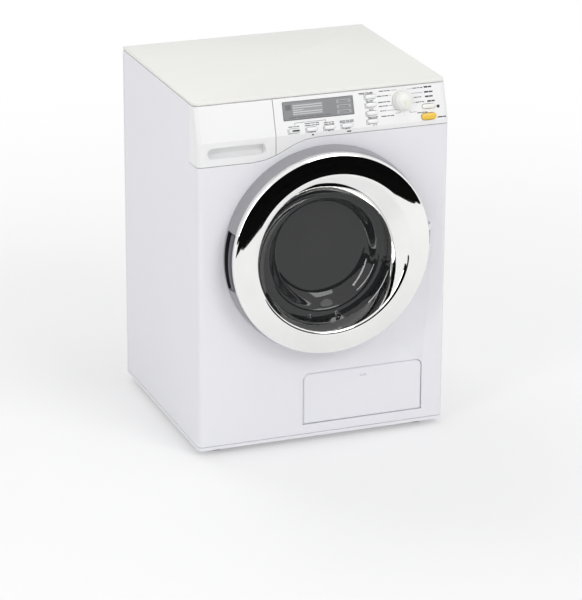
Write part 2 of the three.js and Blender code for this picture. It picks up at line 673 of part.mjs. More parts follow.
function selectorKnob() {
  const { radius, faceRadius, height: top, bevel, shaftRadius } = knob;
  const body = panelTurned([
    [0, -knob.shaftLength], [shaftRadius, -knob.shaftLength], [shaftRadius, gap], [radius, gap],
    [radius - gap, knob.skirt], [faceRadius + bevel, top - 2 * bevel], [faceRadius, top - bevel / 2],
    [faceRadius - bevel, top], [0, top],
  ], knobX, knob.v, steps.wheel);
  const tip = knob.v - faceRadius + bevel;
  const pointer = panelBlock(around(knobX, knob.pointerWidth / 2), [tip, tip + knob.pointerLength],
    [top - overrun, top + knob.pointerProud]);
  return join(body, pointer);
}

// Finger slot in the drawer front; its floor rises towards the back
function gripSlot() {
  const back = frontY + drawer.gripDepth;
  const [low, high] = grown(gripZ, overrun);
  const floor = sideBar(polygon([
    [frontY - overrun, low], [frontY + gap, low], [back, gripZ[0] + drawer.gripSlope], [back, high],
    [frontY - overrun, high],
  ]), grown(gripX, overrun));
  const outline = roundedRect(gripX, gripZ, drawer.gripHeight);
  return frontSlab(outline, [frontY - overrun, back], steps.end).intersect(floor);
}

function drawerFront() {
  const { gripDepth, gripWall, gripHeight } = drawer;
  const outline = roundedRect(grown(gripX, gripWall), grown(gripZ, gripWall), gripHeight);
  const pocket = frontSlab(outline, [frontY + panel.thickness / 2, frontY + gripDepth + gripWall], steps.end);
  return cut(join(moduleBody([-halfWidth, seamX - seam / 2]), pocket), gripSlot());
}

const trayX = grown(housingX, -drawer.housingWall - drawer.running);
const trayY = [trayFront, trayFront + drawer.trayLength];
const trayZ = [trayLow, trayLow + drawer.trayHeight];
const dividerX = trayX[0] + (trayX[1] - trayX[0]) * drawer.dividerShare;

// Tray with two compartments
function drawerTray() {
  const t = drawer.trayWall;
  const y = grown(trayY, -t);
  const z = [trayZ[0] + t, trayZ[1] + overrun];
  const left = block([trayX[0] + t, dividerX - t / 2], y, z);
  const right = block([dividerX + t / 2, trayX[1] - t], y, z);
  return cut(block(trayX, trayY, trayZ), left, right);
}

// Sleeve that the tray slides in, with an outlet spout underneath
function drawerHousing() {
  const t = drawer.housingWall;
  const front = moduleBack + drawer.housingGap;
  const y = [front, front + drawer.housingLength];
  const z = [housingLow, trayZ[1] + drawer.running + t];
  const x = (housingX[0] + housingX[1]) / 2;
  const spoutY = y[1] - drawer.spoutInset;
  const spoutZ = [housingLow - drawer.spoutLength, housingLow + t / 2];
  const spout = rodZ(drawer.spoutRadius, spoutZ, x, spoutY);
  const bore = rodZ(drawer.spoutRadius - t, grown(spoutZ, t), x, spoutY);
  const inside = block(grown(housingX, -t), [y[0] - overrun, y[1] - t], grown(z, -t));
  return cut(join(block(housingX, y, z), spout), inside, bore);
}

// Wedge of the door on the handle side
function handleWedge(turnShare, y) {
  const reach = doorRadius + 2 * overrun;
  const rise = reach * Math.tan(Math.PI * turnShare);
  return frontSlab(polygon([[0, doorZ], [-reach, doorZ - rise], [-reach, doorZ + rise]]), y);
}

// Grey frame: side wall, back plate and the step that reaches into the mouth
function doorFrame() {
  const { wall: t, stepWall, holeDrop, backPlate, shoulder } = door;
  const radius = doorRadius;
  const frontRadius = radius - door.frontInset;
  const stepRadius = radius - door.stepInset;
  const holeRadius = radius - door.holeInset;
  const stepBack = doorBack + door.stepDepth;
  const plateY = doorBack - backPlate;
  const body = turned([
    [frontRadius, frameFront], [(radius + frontRadius) / 2 + gap, frameFront + shoulder],
    [radius, frameFront + 2 * shoulder], [radius, doorBack], [stepRadius, doorBack], [stepRadius, stepBack],
    [holeRadius, stepBack, holeDrop], [holeRadius, stepBack - backPlate, holeDrop],
    [stepRadius - stepWall, stepBack - backPlate], [stepRadius - stepWall, plateY], [radius - t, plateY],
    [radius - t, frameFront + 2 * shoulder], [frontRadius - t, frameFront],
  ], 0, doorZ);
  const window = handleWedge(grip.windowShare, [doorBack - grip.windowFront, doorBack - grip.windowBack]);
  const notchY = [doorBack - hinge.notchDepth, doorBack + gap];
  const notch = block([hingeX - hinge.notchLeft, halfWidth], notchY, around(doorZ, hinge.notchHalf));
  const slotX = around(latchX, latch.thickness / 2 + gap);
  const slot = block(slotX, [plateY - gap, doorBack + gap], around(doorZ, latch.half + gap));
  return cut(body, window, notch, slot);
}

// Chrome ring: rounded front, sharp crest, then a wide funnel, whose circles drop as they go in, and its neck
function doorChromeRing() {
  const { rimDrop, wall: t, edge } = ring;
  const radius = doorRadius - ring.inset;
  const crestRadius = doorRadius - ring.crestInset;
  const frontRadius = doorRadius - ring.frontInset;
  const rimRadius = doorRadius - ring.rimInset;
  const back = frameFront - gap;
  const crestY = doorFront + ring.crestDepth;
  const rimY = doorFront + ring.rimDepth;
  const band = ring.bandShares.map(([acrossShare, forwardShare]) => [
    radius - (radius - frontRadius) * acrossShare, back - edge - (back - edge - doorFront) * forwardShare,
  ]);
  const funnel = ring.funnelShares.map(([inShare, depthShare]) => [
    crestRadius + (rimRadius - crestRadius) * inShare, crestY + (rimY - crestY) * depthShare, rimDrop * inShare,
  ]);
  const behind = funnel.slice(1).reverse().map(([r, y, drop]) => [r + t, y, drop]);
  return turned([
    [radius, back], [radius, back - edge], ...band, [frontRadius, doorFront],
    [(frontRadius + crestRadius) / 2 - gap, doorFront + gap], ...funnel, ...behind,
    [crestRadius + t, crestY + t], [frontRadius, doorFront + t], [band[1][0], band[1][1] + t],
    [radius - (radius - frontRadius) * ring.innerShare, back - edge + gap], [radius - t, back],
  ], 0, doorZ);
}

// Smoked bowl: a flat flange under the funnel, a rounded wall and a flat disc
function doorBowl() {
  const { mouthDrop, discDrop, depth: deep, thickness: t } = bowl;
  const [wallDepthShare, wallDropShare] = bowl.wallShares;
  const [cornerDepthShare, cornerDropShare] = bowl.cornerShares;
  const flangeRadius = doorRadius - bowl.flangeInset;
  const mouthR = doorRadius - bowl.mouthInset;
  const wallR = doorRadius - bowl.wallInset;
  const discR = doorRadius - bowl.discInset;
  const cornerR = (wallR + discR) / 2;
  const front = doorFront + ring.rimDepth + gap;
  const back = front + deep;
  const dropAt = (share) => mouthDrop + (discDrop - mouthDrop) * share;
  return turned([
    [flangeRadius, front], [mouthR, front, mouthDrop], [mouthR - t, front + t * bowl.lipShare, mouthDrop],
    [wallR, front + deep * wallDepthShare, dropAt(wallDropShare)],
    [cornerR - gap, front + deep * cornerDepthShare, dropAt(cornerDropShare)],
    [discR, back, discDrop], [0, back, discDrop], [0, back + t, discDrop], [discR + gap, back + t, discDrop],
    [cornerR + t, front + deep * cornerDepthShare + t / 2, dropAt(cornerDropShare)],
    [wallR + t, front + deep * wallDepthShare, dropAt(wallDropShare)],
    [mouthR - gap, front + t, mouthDrop], [flangeRadius, front + t],
  ], 0, doorZ);
}

// Grip bar in the window of the side wall, with the plate that closes the window behind it
function doorGrip() {
  const barY = [doorBack - grip.barFront, doorBack - grip.barBack];
  const plateY = [doorBack - grip.plateFront, doorBack - door.backPlate - gap];
  const tube = (insets, y) => {
    const [low, high] = insets.map((inset) => doorRadius - inset);
    return turned([[low, y[0]], [high, y[0]], [high, y[1]], [low, y[1]]], 0, doorZ);
  };
  const bar = tube([grip.barLowInset, grip.barHighInset], barY).intersect(handleWedge(grip.barShare, barY));
  const plate = tube([grip.plateLowInset, grip.plateHighInset], plateY);
  return join(bar, plate.intersect(handleWedge(grip.plateShare, plateY)));
}

// Fixed half of the hinge: a leaf on the front wall with two lugs
function hingeBracket() {
  const leafX = [hingeX - hinge.leafLeft, hingeX + hinge.leafRight];
  const leafY = [doorBack - hinge.leafThickness, doorBack];
  const leaf = block(leafX, leafY, around(doorZ, hinge.leafHalf));
  const low = hinge.half + gap;
  const lugs = [-1, 1].flatMap((side) => {
    const z = ordered(doorZ + side * low, doorZ + side * (low + hinge.lugHeight));
    const neck = block(around(hingeX, hinge.radius), [hingeY, doorBack - hinge.leafThickness / 2], z);
    return [rodZ(hinge.radius, z, hingeX, hingeY), neck];
  });
  const bore = rodZ(hinge.pinRadius + gap, around(doorZ, hinge.leafHalf + overrun), hingeX, hingeY);
  return cut(join(leaf, ...lugs), bore);
}

function hingePin() {
  const reach = hinge.half + gap + hinge.lugHeight;
  const head = [doorZ + reach + gap, doorZ + reach + gap + hinge.headHeight];
  const pin = rodZ(hinge.pinRadius, [doorZ - reach, head[1]], hingeX, hingeY);
  return join(pin, rodZ(hinge.headRadius, head, hingeX, hingeY));
}

// Moving half of the hinge: a knuckle, an arm and a plate inside the door's frame
function doorHingeArm() {
  const { half, radius, armHalf, armThickness, plateLeft, plateRight, plateHalf, plateThickness } = hinge;
  const back = doorBack - door.backPlate - gap;
  const knuckle = rodZ(radius, around(doorZ, half), hingeX, hingeY);
  const armX = [hingeX - plateRight - overrun, hingeX];
  const arm = block(armX, [back - armThickness, back], around(doorZ, armHalf));
  const plateX = [hingeX - plateLeft, hingeX - plateRight];
  const plate = block(plateX, [back - plateThickness, back], around(doorZ, plateHalf));
  const bore = rodZ(hinge.pinRadius + gap, around(doorZ, half + overrun), hingeX, hingeY);
  return cut(join(knuckle, arm, plate), bore);
}

// Tongue on the door and the catch behind the front wall that takes it
function doorLatchHook() {
  const back = doorBack - door.backPlate - gap;
  const x = [latchX - latch.plateLeft, latchX + latch.plateRight];
  const y = [back - latch.plateThickness, back];
  const plate = block(x, y, around(doorZ, latch.plateHalf));
  const tongueX = around(latchX, latch.thickness / 2);
  return join(plate, block(tongueX, [y[0], back + latch.reach], around(doorZ, latch.half)));
}

function latchCatch() {
  const x = [latchX - latch.catchLeft, latchX + latch.catchRight];
  const y = [wallBack + gap, wallBack + gap + latch.catchDepth];
  const body = block(x, y, around(doorZ, latch.catchHalf));
  const halfTongue = latch.thickness / 2;
  const roomX = [latchX - halfTongue - latch.catchPlayLeft, latchX + halfTongue + latch.play];
  const roomY = [y[0] - overrun, y[1] - latch.catchBack];
  return cut(body, block(roomX, roomY, around(doorZ, latch.half + latch.play)));
}

// Rubber seal behind the front wall that reaches to the tub's mouth
const sealNeck = mouthRadius - seal.neckInset;

function doorSeal() {
  const { thickness: t, length, lead } = seal;
  const flange = mouthRadius + seal.flangeOutset;
  const lip = mouthRadius - seal.lipInset;
  const y = wallBack + gap;
  return turned([
    [flange, y], [flange, y + t], [sealNeck + 2 * lead, y + t], [sealNeck, y + t + 2 * lead],
    [sealNeck, y + length], [lip, y + length], [lip, y + lead + gap], [lip + lead, y],
  ], 0, doorZ);
}

// Fixed tub, held to the front wall by lugs on its rim
function tubSolid() {
  const { wall: t, lugHalf, webDepth, webHalf } = tub;
  const radius = tubRadius;
  const inner = sealNeck + gap;
  const hub = bearing.radius + gap;
  const body = turned([
    [inner, tubFront], [radius, tubFront], [radius, tubRear], [hub, tubRear], [hub, tubRear - t],
    [radius - t, tubRear - t], [radius - t, tubFront + t], [inner, tubFront + t],
  ], 0, doorZ);
  const reach = radius + tub.lugOutset;
  const lugY = [wallBack + gap, tubFront + webDepth];
  const turns = Array.from({ length: tub.lugs }, (_, i) => 2 * Math.PI * (i + 0.5) / tub.lugs);
  const lugs = turns.flatMap((turn) => [
    rodY(lugHalf, lugY, reach * Math.cos(turn), doorZ + reach * Math.sin(turn)),
    spoke([radius - t / 2, reach], [tubFront, tubFront + webDepth], webHalf, turn),
  ]);
  return join(body, ...lugs);
}

// Bar that runs outwards from the drum's axis, turned by an angle
function spoke(reach, y, half, turn) {
  const geometry = new THREE.BoxGeometry(reach[1] - reach[0], y[1] - y[0], 2 * half);
  geometry.translate((reach[0] + reach[1]) / 2, (y[0] + y[1]) / 2, 0);
  geometry.rotateY(-turn);
  geometry.translate(0, 0, doorZ);
  return solid(geometry);
}

// Six-sided rod that runs outwards from the drum's axis
function radialRod(radius, y, turn) {
  const geometry = new THREE.CylinderGeometry(radius, radius, 4 * drum.wall, steps.hole);
  geometry.rotateZ(Math.PI / 2);
  geometry.translate(drumRadius - drum.wall / 2, y, 0);
  geometry.rotateY(-turn);
  geometry.translate(0, 0, doorZ);
  return solid(geometry);
}

function drumHoles() {
  const holes = [];
  const spacing = (drumRear - drumFront) / (drum.holeRows + 1);
  for (let row = 0; row < drum.holeRows; row += 1) {
    for (let i = 0; i < drum.holesRound; i += 1) {
      const turn = 2 * Math.PI * (i + (row % 2) / 2) / drum.holesRound;
      holes.push(radialRod(drum.holeRadius, drumFront + spacing * (row + 1), turn));
    }
  }
  for (let i = 0; i < drum.rearHoles; i += 1) {
    const turn = 2 * Math.PI * i / drum.rearHoles;
    const reach = drumRadius * drum.rearHoleShare;
    const [x, z] = [reach * Math.cos(turn), doorZ + reach * Math.sin(turn)];
    holes.push(rodY(drum.rearHoleRadius, around(drumRear, 2 * drum.wall), x, z, steps.hole));
  }
  return holes;
}

// Perforated drum with a rolled mouth
function drumSolid() {
  const { wall: t, lip, corner } = drum;
  const radius = drumRadius;
  const inner = radius - drum.mouthInset;
  const hub = shaft.radius + gap;
  const body = turned([
    [inner, drumFront], [radius - corner, drumFront], [radius, drumFront + corner], [radius, drumRear],
    [hub, drumRear], [hub, drumRear - t], [radius - t, drumRear - t],
    [radius - t, drumFront + corner + t / 3], [radius - corner - t / 3, drumFront + t],
    [inner + t, drumFront + t], [inner + t, drumFront + lip], [inner, drumFront + lip],
  ], 0, doorZ, steps.drum);
  return cut(body, ...drumHoles());
}

// Lifter bar along the drum's wall
function drumLifter(i) {
  const flat = (drumRadius - drum.wall) * Math.cos(Math.PI / steps.drum);
  const root = Math.sqrt(flat ** 2 - (lifter.baseWidth / 2) ** 2) - gap;
  const crest = root - lifter.height;
  const shape = polygon([
    [root, -lifter.baseWidth / 2], [root, lifter.baseWidth / 2],
    [crest, lifter.topWidth / 2], [crest, -lifter.topWidth / 2],
  ]);
  const y = [drumFront + lifter.endInset, drumRear - lifter.endInset];
  const geometry = extrusion(shape, y[1] - y[0]);
  geometry.rotateX(Math.PI / 2);
  geometry.translate(0, y[1], 0);
  geometry.rotateY(-2 * Math.PI * (i + 0.25) / lifter.count);
  geometry.translate(0, 0, doorZ);
  return solid(geometry);
}

// Shaft with a cap inside the drum, a flange behind it and a clip behind the gear
function drumShaft() {
  const { radius, capRadius, capDepth, flangeRadius, flangeDepth, clipRadius, clipDepth } = shaft;
  const capBack = drumRear - drum.wall - gap;
  const flangeY = drumRear + gap;
  const clipY = drumGearY[1] + gap;
  return turned([
    [0, capBack - capDepth], [capRadius - capDepth / 2, capBack - capDepth],
    [capRadius, capBack - capDepth / 2], [capRadius, capBack], [radius, capBack], [radius, flangeY],
    [flangeRadius, flangeY], [flangeRadius, flangeY + flangeDepth], [radius, flangeY + flangeDepth],
    [radius, clipY], [clipRadius, clipY], [clipRadius, clipY + clipDepth], [0, clipY + clipDepth],
  ], 0, doorZ, steps.wheel);
}

function drumBearing() {
  const { radius, flangeRadius, flangeDepth } = bearing;
  const inner = shaft.radius + gap;
  const front = tubRear - tub.wall - bearing.lead;
  const flangeY = tubRear + gap;
  return turned([
    [inner, front], [radius, front], [radius, flangeY], [flangeRadius, flangeY],
    [flangeRadius, flangeY + flangeDepth], [inner, flangeY + flangeDepth],
  ], 0, doorZ, steps.wheel);
}

// Outline of a toothed wheel with a tooth at the given angle
function gearOutline(teeth, x, z, phase) {
  const pitch = 2 * Math.PI / teeth;
  const tip = pitchRadius(teeth) + gears.module * gears.addendumShare;
  const root = pitchRadius(teeth) - gears.module * gears.dedendumShare;
  const points = [];
  for (let i = 0; i < teeth; i += 1) {
    const { rootShare, tipShare } = gears;
    for (const [share, r] of [[-rootShare, root], [-tipShare, tip], [tipShare, tip], [rootShare, root]]) {
      const turn = phase + (i + share) * pitch;
      points.push([x + r * Math.cos(turn), z + r * Math.sin(turn)]);
    }
  }
  return polygon(points);
}

// Tooth angle of a second wheel that sits in mesh with a first one in a given direction
function meshPhase(direction, firstPhase, firstTeeth, secondTeeth) {
  const along = (direction - firstPhase) * firstTeeth / (2 * Math.PI);
  const share = along - Math.floor(along);
  return direction + Math.PI - (0.5 - share) * 2 * Math.PI / secondTeeth;
}

function drumGear() {
  const { drumTeeth, hubRadius, holes, holeRadius, holeShare } = gears;
  const hubFront = tubRear + 2 * gap + bearing.flangeDepth;
  const rim = frontSlab(gearOutline(drumTeeth, 0, doorZ, 0), drumGearY);
  const hub = rodY(hubRadius, [hubFront, drumGearY[0] + overrun], 0, doorZ, steps.wheel);
  const bore = rodY(shaft.radius + gap, [hubFront - overrun, drumGearY[1] + overrun], 0, doorZ, steps.wheel);
  const reach = pitchRadius(drumTeeth) * holeShare;
  const windows = Array.from({ length: holes }, (_, i) => 2 * Math.PI * (i + 0.5) / holes).map((turn) => (
    rodY(holeRadius, grown(drumGearY, overrun), reach * Math.cos(turn), doorZ + reach * Math.sin(turn))));
  return cut(join(rim, hub), bore, ...windows);
}

function idlerGear() {
  const { drumTeeth, idlerTeeth, wheelTeeth } = gears;
  const outline = gearOutline(idlerTeeth, idlerX, idlerZ, meshPhase(wheelTurn, 0, drumTeeth, idlerTeeth));
  const pinion = frontSlab(outline, [drumGearY[0], pinionY[0] + overrun]);
  const wheel = frontSlab(gearOutline(wheelTeeth, idlerX, idlerZ, 0), pinionY);
  const bore = rodY(motor.pinRadius + gap, [drumGearY[0] - overrun, pinionY[1] + overrun], idlerX, idlerZ);
  return cut(join(pinion, wheel), bore);
}

function motorPinion() {
  const { wheelTeeth, pinionTeeth } = gears;
  const phase = meshPhase(pinionTurn, 0, wheelTeeth, pinionTeeth);
  const outline = gearOutline(pinionTeeth, motorX, motorZ, phase);
  const shaftY = [pinionY[0], pinionY[1] + motor.shaftReach];
  const rod = rodY(motor.shaftRadius, shaftY, motorX, motorZ, steps.screw);
  return join(frontSlab(outline, pinionY), rod);
}

function idlerPin() {
  return rodY(motor.pinRadius, [tubRear + gap, bracketY[0] - gap], idlerX, idlerZ);
}

// Plate on four posts behind the tub that carries the motor and the idler
function driveBracket() {
  const posts = bracketPostShares.map(([across, up]) => {
    const y = [tubRear + gap, bracketY[0] + bracket.thickness / 2];
    return rodY(bracket.postRadius, y, idlerReach * across, doorZ + idlerReach * up, steps.screw);
  });
  const through = grown(bracketY, overrun);
  const hub = rodY(bracket.hubHole, through, 0, doorZ, steps.wheel);
  const boss = rodY(motor.bossRadius + gap, through, motorX, motorZ);
  const plate = frontSlab(roundedRect(bracketX, bracketZ, bracket.corner), bracketY);
  return cut(join(plate, ...posts), hub, boss);
}

function motorSolid() {
  const y = [bracketY[1] + gap, bracketY[1] + gap + motor.length];
  const body = join(rodY(motor.radius, y, motorX, motorZ, steps.wheel),
    rodY(motor.bossRadius, [bracketY[0] + gap, y[0] + overrun], motorX, motorZ));
  const bore = [bracketY[0] - overrun, bracketY[0] + motor.boreDepth];
  return cut(body, rodY(motor.shaftRadius + gap, bore, motorX, motorZ, steps.screw));
}

const batteryX = around(0, battery.halfWidth);
const batteryZ = [battery.low, batteryHigh];
const coverX = grown(batteryX, -battery.coverInset);
const coverZ = grown(batteryZ, -battery.coverInset);
const coverScrewZ = batteryHigh - battery.bossDrop;

// Rear cover with an inner rim, vents for the loudspeaker and the battery opening
function rearCover() {
  const y = [shellRear + gap, rearY];
  const rimX = around(0, halfWidth - wall - gap);
  const rimZ = [shellLow + rear.rimInset, shellHigh - rear.rimInset];
  const rimY = [shellRear - rear.rimDepth, shellRear + rear.thickness / 2];
  const insideX = grown(rimX, -rear.rimThickness);
  const insideZ = grown(rimZ, -rear.rimThickness);
  const inside = block(insideX, grown(rimY, overrun), insideZ);
  const plate = block(around(0, halfWidth), y, [shellLow, shellHigh]);
  let cover = join(plate, cut(block(rimX, rimY, rimZ), inside));
  cover = cut(cover, block(coverX, grown(y, overrun), coverZ));
  for (let i = 0; i < rear.vents; i += 1) {
    const x = around(speakerX + (i - (rear.vents - 1) / 2) * rear.ventPitch, rear.ventWidth / 2);
    const slot = roundedRect(x, around(speakerZ, rear.ventHeight / 2), rear.ventWidth);
    cover = cut(cover, frontSlab(slot, grown(y, overrun), steps.key));
  }
  for (const [x, z] of rearScrews) {
    const sink = [rearY - screw.headHeight - gap, rearY + overrun];
    cover = cut(cover, rodY(screw.headRadius + gap, sink, x, z), screwPilot(x, z));
  }
  return cover;
}

// Screw seen from behind, with a cross slot
function screwSolid(x, z) {
  const { headRadius, headHeight, slotWidth, slotDepth } = screw;
  const head = rodY(headRadius, [rearY - headHeight, rearY], x, z);
  const shank = rodY(screw.shankRadius, [rearY - screw.length, rearY - headHeight / 2], x, z, steps.screw);
  const slotY = [rearY - slotDepth, rearY + overrun];
  const long = headRadius - slotWidth;
  const level = block(around(x, long), slotY, around(z, slotWidth / 2));
  return cut(join(head, shank), level, block(around(x, slotWidth / 2), slotY, around(z, long)));
}

// Battery box, open to the rear, with a boss for the cover's screw
function batteryBox() {
  const y = [shellRear - battery.depth, shellRear];
  const insideY = [y[0] + battery.wall, y[1] + overrun];
  const inside = block(grown(batteryX, -battery.wall), insideY, grown(batteryZ, -battery.wall));
  const bossBack = shellRear - battery.rimDepth;
  const boss = rodY(battery.bossRadius, [y[0] + battery.wall / 2, bossBack], 0, coverScrewZ);
  return cut(join(cut(block(batteryX, y, batteryZ), inside), boss), screwPilot(0, coverScrewZ));
}

function batteryCover() {
  const y = [shellRear + gap, rearY];
  const rimX = grown(coverX, -2 * gap);
  const rimZ = grown(coverZ, -2 * gap);
  const rimY = [shellRear - battery.rimDepth + gap, rearY - rear.thickness / 2];
  const t = battery.rimThickness;
  const rim = cut(block(rimX, rimY, rimZ), block(grown(rimX, -t), grown(rimY, overrun), grown(rimZ, -t)));
  const plate = block(grown(coverX, -gap), y, grown(coverZ, -gap));
  const sinkY = [rearY - screw.headHeight - gap, rearY + overrun];
  const sink = rodY(screw.headRadius + gap, sinkY, 0, coverScrewZ);
  return cut(join(plate, rim), sink, screwPilot(0, coverScrewZ));
}

// Loudspeaker with its open cone against the vents
function speakerSolid() {
  const { radius, rim, rimDepth, magnetRadius, magnetDepth, depth: deep } = speaker;
  const back = shellRear;
  return turned([
    [0, back - deep], [magnetRadius, back - deep], [magnetRadius, back - deep + magnetDepth],
    [radius - rim / 2, back - rimDepth], [radius, back - rimDepth], [radius, back], [radius - rim, back],
    [radius - rim - gap, back - rimDepth / 2], [magnetRadius / 2, back - deep / 2 + gap],
    [0, back - deep / 2 + gap],
  ], speakerX, speakerZ, steps.wheel);
}

// Wiring from the battery box, up beside the bracket and over the tub to the back of the board
function wiringLoom() {
  const r = loom.radius;
  const boardU = seamX / 2;
  const boardBack = new THREE.Vector3(boardU, (board.low + board.high) / 2, boardN - board.thickness - gap)
    .applyMatrix4(panelFrame);
  const normal = new THREE.Vector3(0, Math.cos(slant), -Math.sin(slant));
  const sideX = -(bracket.leftReach + halfWidth - wall) / 2;
  const startY = shellRear - battery.depth / 2;
  const path = new THREE.CatmullRomCurve3([
    new THREE.Vector3(-battery.halfWidth / 2, startY, batteryHigh + gap),
    new THREE.Vector3(-battery.halfWidth / 2, startY, batteryHigh + 4 * r),
    new THREE.Vector3(sideX, shellRear - battery.depth, doorZ),
    new THREE.Vector3(housingX[1] + 4 * r, tubRear + 8 * r, doorZ + tubRadius * loom.riseShare),
    new THREE.Vector3(boardU, tubRear / 2, doorZ + tubRadius + 8 * r),
    boardBack.clone().addScaledVector(normal, 5 * r),
    boardBack,
  ]);
  const geometry = new THREE.ExtrudeGeometry(circle(0, 0, r), {
    steps: loom.steps, extrudePath: path, curveSegments: loom.sides / 2, bevelEnabled: false,
  });
  return solid(geometry);
}

// Flap with a chamfered edge, a finger notch near the top and a pin at each end
function serviceFlap() {
  const { bevel: b, corner, thickness, notchWidth, notchHeight, notchDepth } = flap;
  const x = grown(flapX, -b);
  const z = grown(flapZ, -b);
  const geometry = new THREE.ExtrudeGeometry(archedRect(x, z, corner - b), {
    depth: thickness - b, bevelThickness: b, bevelSize: b, bevelSegments: 1, curveSegments: steps.corner,
  });
  geometry.rotateX(Math.PI / 2);
  geometry.translate(0, frontY + thickness, 0);
  const behind = block(grown(x, corner), [frontY + thickness, frontY + 2 * thickness], grown(z, corner));
  const pins = rodX(flap.pinRadius, grown(flapX, flap.pinLength), ...flapAxis);
  const notchZ = flapZ[1] - flap.notchDrop;
  const notchX = around((flapX[0] + flapX[1]) / 2, notchWidth / 2);
  const notch = block(notchX, [frontY - overrun, frontY + notchDepth], [notchZ - notchHeight, notchZ]);
  return cut(join(cut(solid(geometry), behind), pins), notch);
}

const group = new THREE.Group();
const moving = ['door', 'drum_unit', 'idler_unit', 'rotor', 'drawer', 'selector', 'keypad', 'flap'];
const bodies = Object.fromEntries(moving.map((name) => [name, new THREE.Group()]));
Object.values(bodies).forEach((body) => group.add(body));

place(group, 'cabinet_shell', cabinetShell(), 'white');
place(group, 'top_plate', topPlate(), 'cream');
place(group, 'rear_cover', rearCover(), 'white');
place(group, 'base_plate', basePlate(), 'white');
footPlaces.forEach((at, i) => place(group, `foot_${i + 1}`, footSolid(at), 'rubber'));
place(group, 'control_fascia', controlFascia(), 'white');
place(group, 'display_window', displayWindow(), 'screen');
place(group, 'circuit_board', circuitBoard(), 'green');
place(group, 'selector_switch', selectorSwitch(), 'black');
place(group, 'drawer_housing', drawerHousing(), 'natural');
place(group, 'door_seal', doorSeal(), 'rubber');
place(group, 'hinge_bracket', hingeBracket(), 'grey');
place(group, 'hinge_pin', hingePin(), 'steel');
place(group, 'latch_catch', latchCatch(), 'natural');
place(group, 'tub', tubSolid(), 'natural');
place(group, 'drum_bearing', drumBearing(), 'black');
place(group, 'drive_bracket', driveBracket(), 'grey');
place(group, 'idler_pin', idlerPin(), 'steel');
place(group, 'motor', motorSolid(), 'steel');
place(group, 'speaker', speakerSolid(), 'black');
place(group, 'battery_box', batteryBox(), 'natural');
place(group, 'battery_cover', batteryCover(), 'white');
place(group, 'battery_cover_screw', screwSolid(0, coverScrewZ), 'steel');
rearScrews.forEach(([x, z], i) => place(group, `rear_screw_${i + 1}`, screwSolid(x, z), 'steel'));
place(group, 'wiring_loom', wiringLoom(), 'black');

place(bodies.door, 'door_frame', doorFrame(), 'grey');
place(bodies.door, 'door_chrome_ring', doorChromeRing(), 'chrome');
place(bodies.door, 'door_bowl', doorBowl(), 'smoke');
place(bodies.door, 'door_grip', doorGrip(), 'dark');
place(bodies.door, 'door_hinge_arm', doorHingeArm(), 'grey');
place(bodies.door, 'door_latch_hook', doorLatchHook(), 'grey');

place(bodies.drum_unit, 'drum', drumSolid(), 'silver');
for (let i = 0; i < lifter.count; i += 1) {
  place(bodies.drum_unit, `drum_lifter_${i + 1}`, drumLifter(i), 'white');
}
place(bodies.drum_unit, 'drum_shaft', drumShaft(), 'steel');
place(bodies.drum_unit, 'drum_gear', drumGear(), 'natural');
place(bodies.idler_unit, 'idler_gear', idlerGear(), 'natural');
place(bodies.rotor, 'motor_pinion', motorPinion(), 'steel');

place(bodies.drawer, 'drawer_front', drawerFront(), 'white');
place(bodies.drawer, 'drawer_tray', drawerTray(), 'natural');
place(bodies.selector, 'selector_knob', selectorKnob(), 'cream');
keys.forEach((item) => place(bodies.keypad, item.name, keySolid(item), item.look));
place(bodies.flap, 'service_flap', serviceFlap(), 'white');

export default group;
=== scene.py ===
# Toy front-loading washing machine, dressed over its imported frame. Metres, front towards -Y.
import json
import math
import bpy
from mathutils import Matrix, Vector


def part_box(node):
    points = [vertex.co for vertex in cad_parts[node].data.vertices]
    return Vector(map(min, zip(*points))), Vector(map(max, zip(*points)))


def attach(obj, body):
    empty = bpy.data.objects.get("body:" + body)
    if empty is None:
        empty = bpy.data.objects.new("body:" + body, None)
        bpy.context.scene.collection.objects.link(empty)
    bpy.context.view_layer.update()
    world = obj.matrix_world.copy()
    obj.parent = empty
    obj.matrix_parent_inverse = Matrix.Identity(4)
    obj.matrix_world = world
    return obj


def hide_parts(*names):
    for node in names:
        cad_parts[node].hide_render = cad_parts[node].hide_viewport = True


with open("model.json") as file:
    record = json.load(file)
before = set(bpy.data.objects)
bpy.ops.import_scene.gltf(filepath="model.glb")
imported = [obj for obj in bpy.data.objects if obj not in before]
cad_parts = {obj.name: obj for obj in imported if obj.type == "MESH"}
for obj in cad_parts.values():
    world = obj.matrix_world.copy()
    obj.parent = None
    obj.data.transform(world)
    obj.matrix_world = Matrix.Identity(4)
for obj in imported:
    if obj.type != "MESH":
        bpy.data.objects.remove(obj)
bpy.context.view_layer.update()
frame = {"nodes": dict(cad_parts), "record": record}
nodes = frame["nodes"]
mm = 0.001
mergeDistance = 1e-6

# where the front face, the slanted panel and the door sit, in mm
place = {"frontY": -73.0, "creaseZ": 232.9, "slantRun": 9.0, "top": 260.0, "doorZ": 148.0}
slant = math.atan2(place["slantRun"], place["top"] - place["creaseZ"])
crease = Matrix.Translation((0, place["frontY"] * mm, place["creaseZ"] * mm))
onPanel = crease @ Matrix.Rotation(math.pi / 2 - slant, 4, "X")
onFront = crease @ Matrix.Rotation(math.pi / 2, 4, "X")
onDoorAxis = Matrix.Translation((0, 0, place["doorZ"] * mm)) @ Matrix.Rotation(-math.pi / 2, 4, "X")


# small helpers for the steps that recur

def clearSelection():
    if bpy.context.object and bpy.context.object.mode != "OBJECT":
        bpy.ops.object.mode_set(mode="OBJECT")
    bpy.ops.object.select_all(action="DESELECT")


def pick(piece):
    clearSelection()
    piece.select_set(True)
    bpy.context.view_layer.objects.active = piece


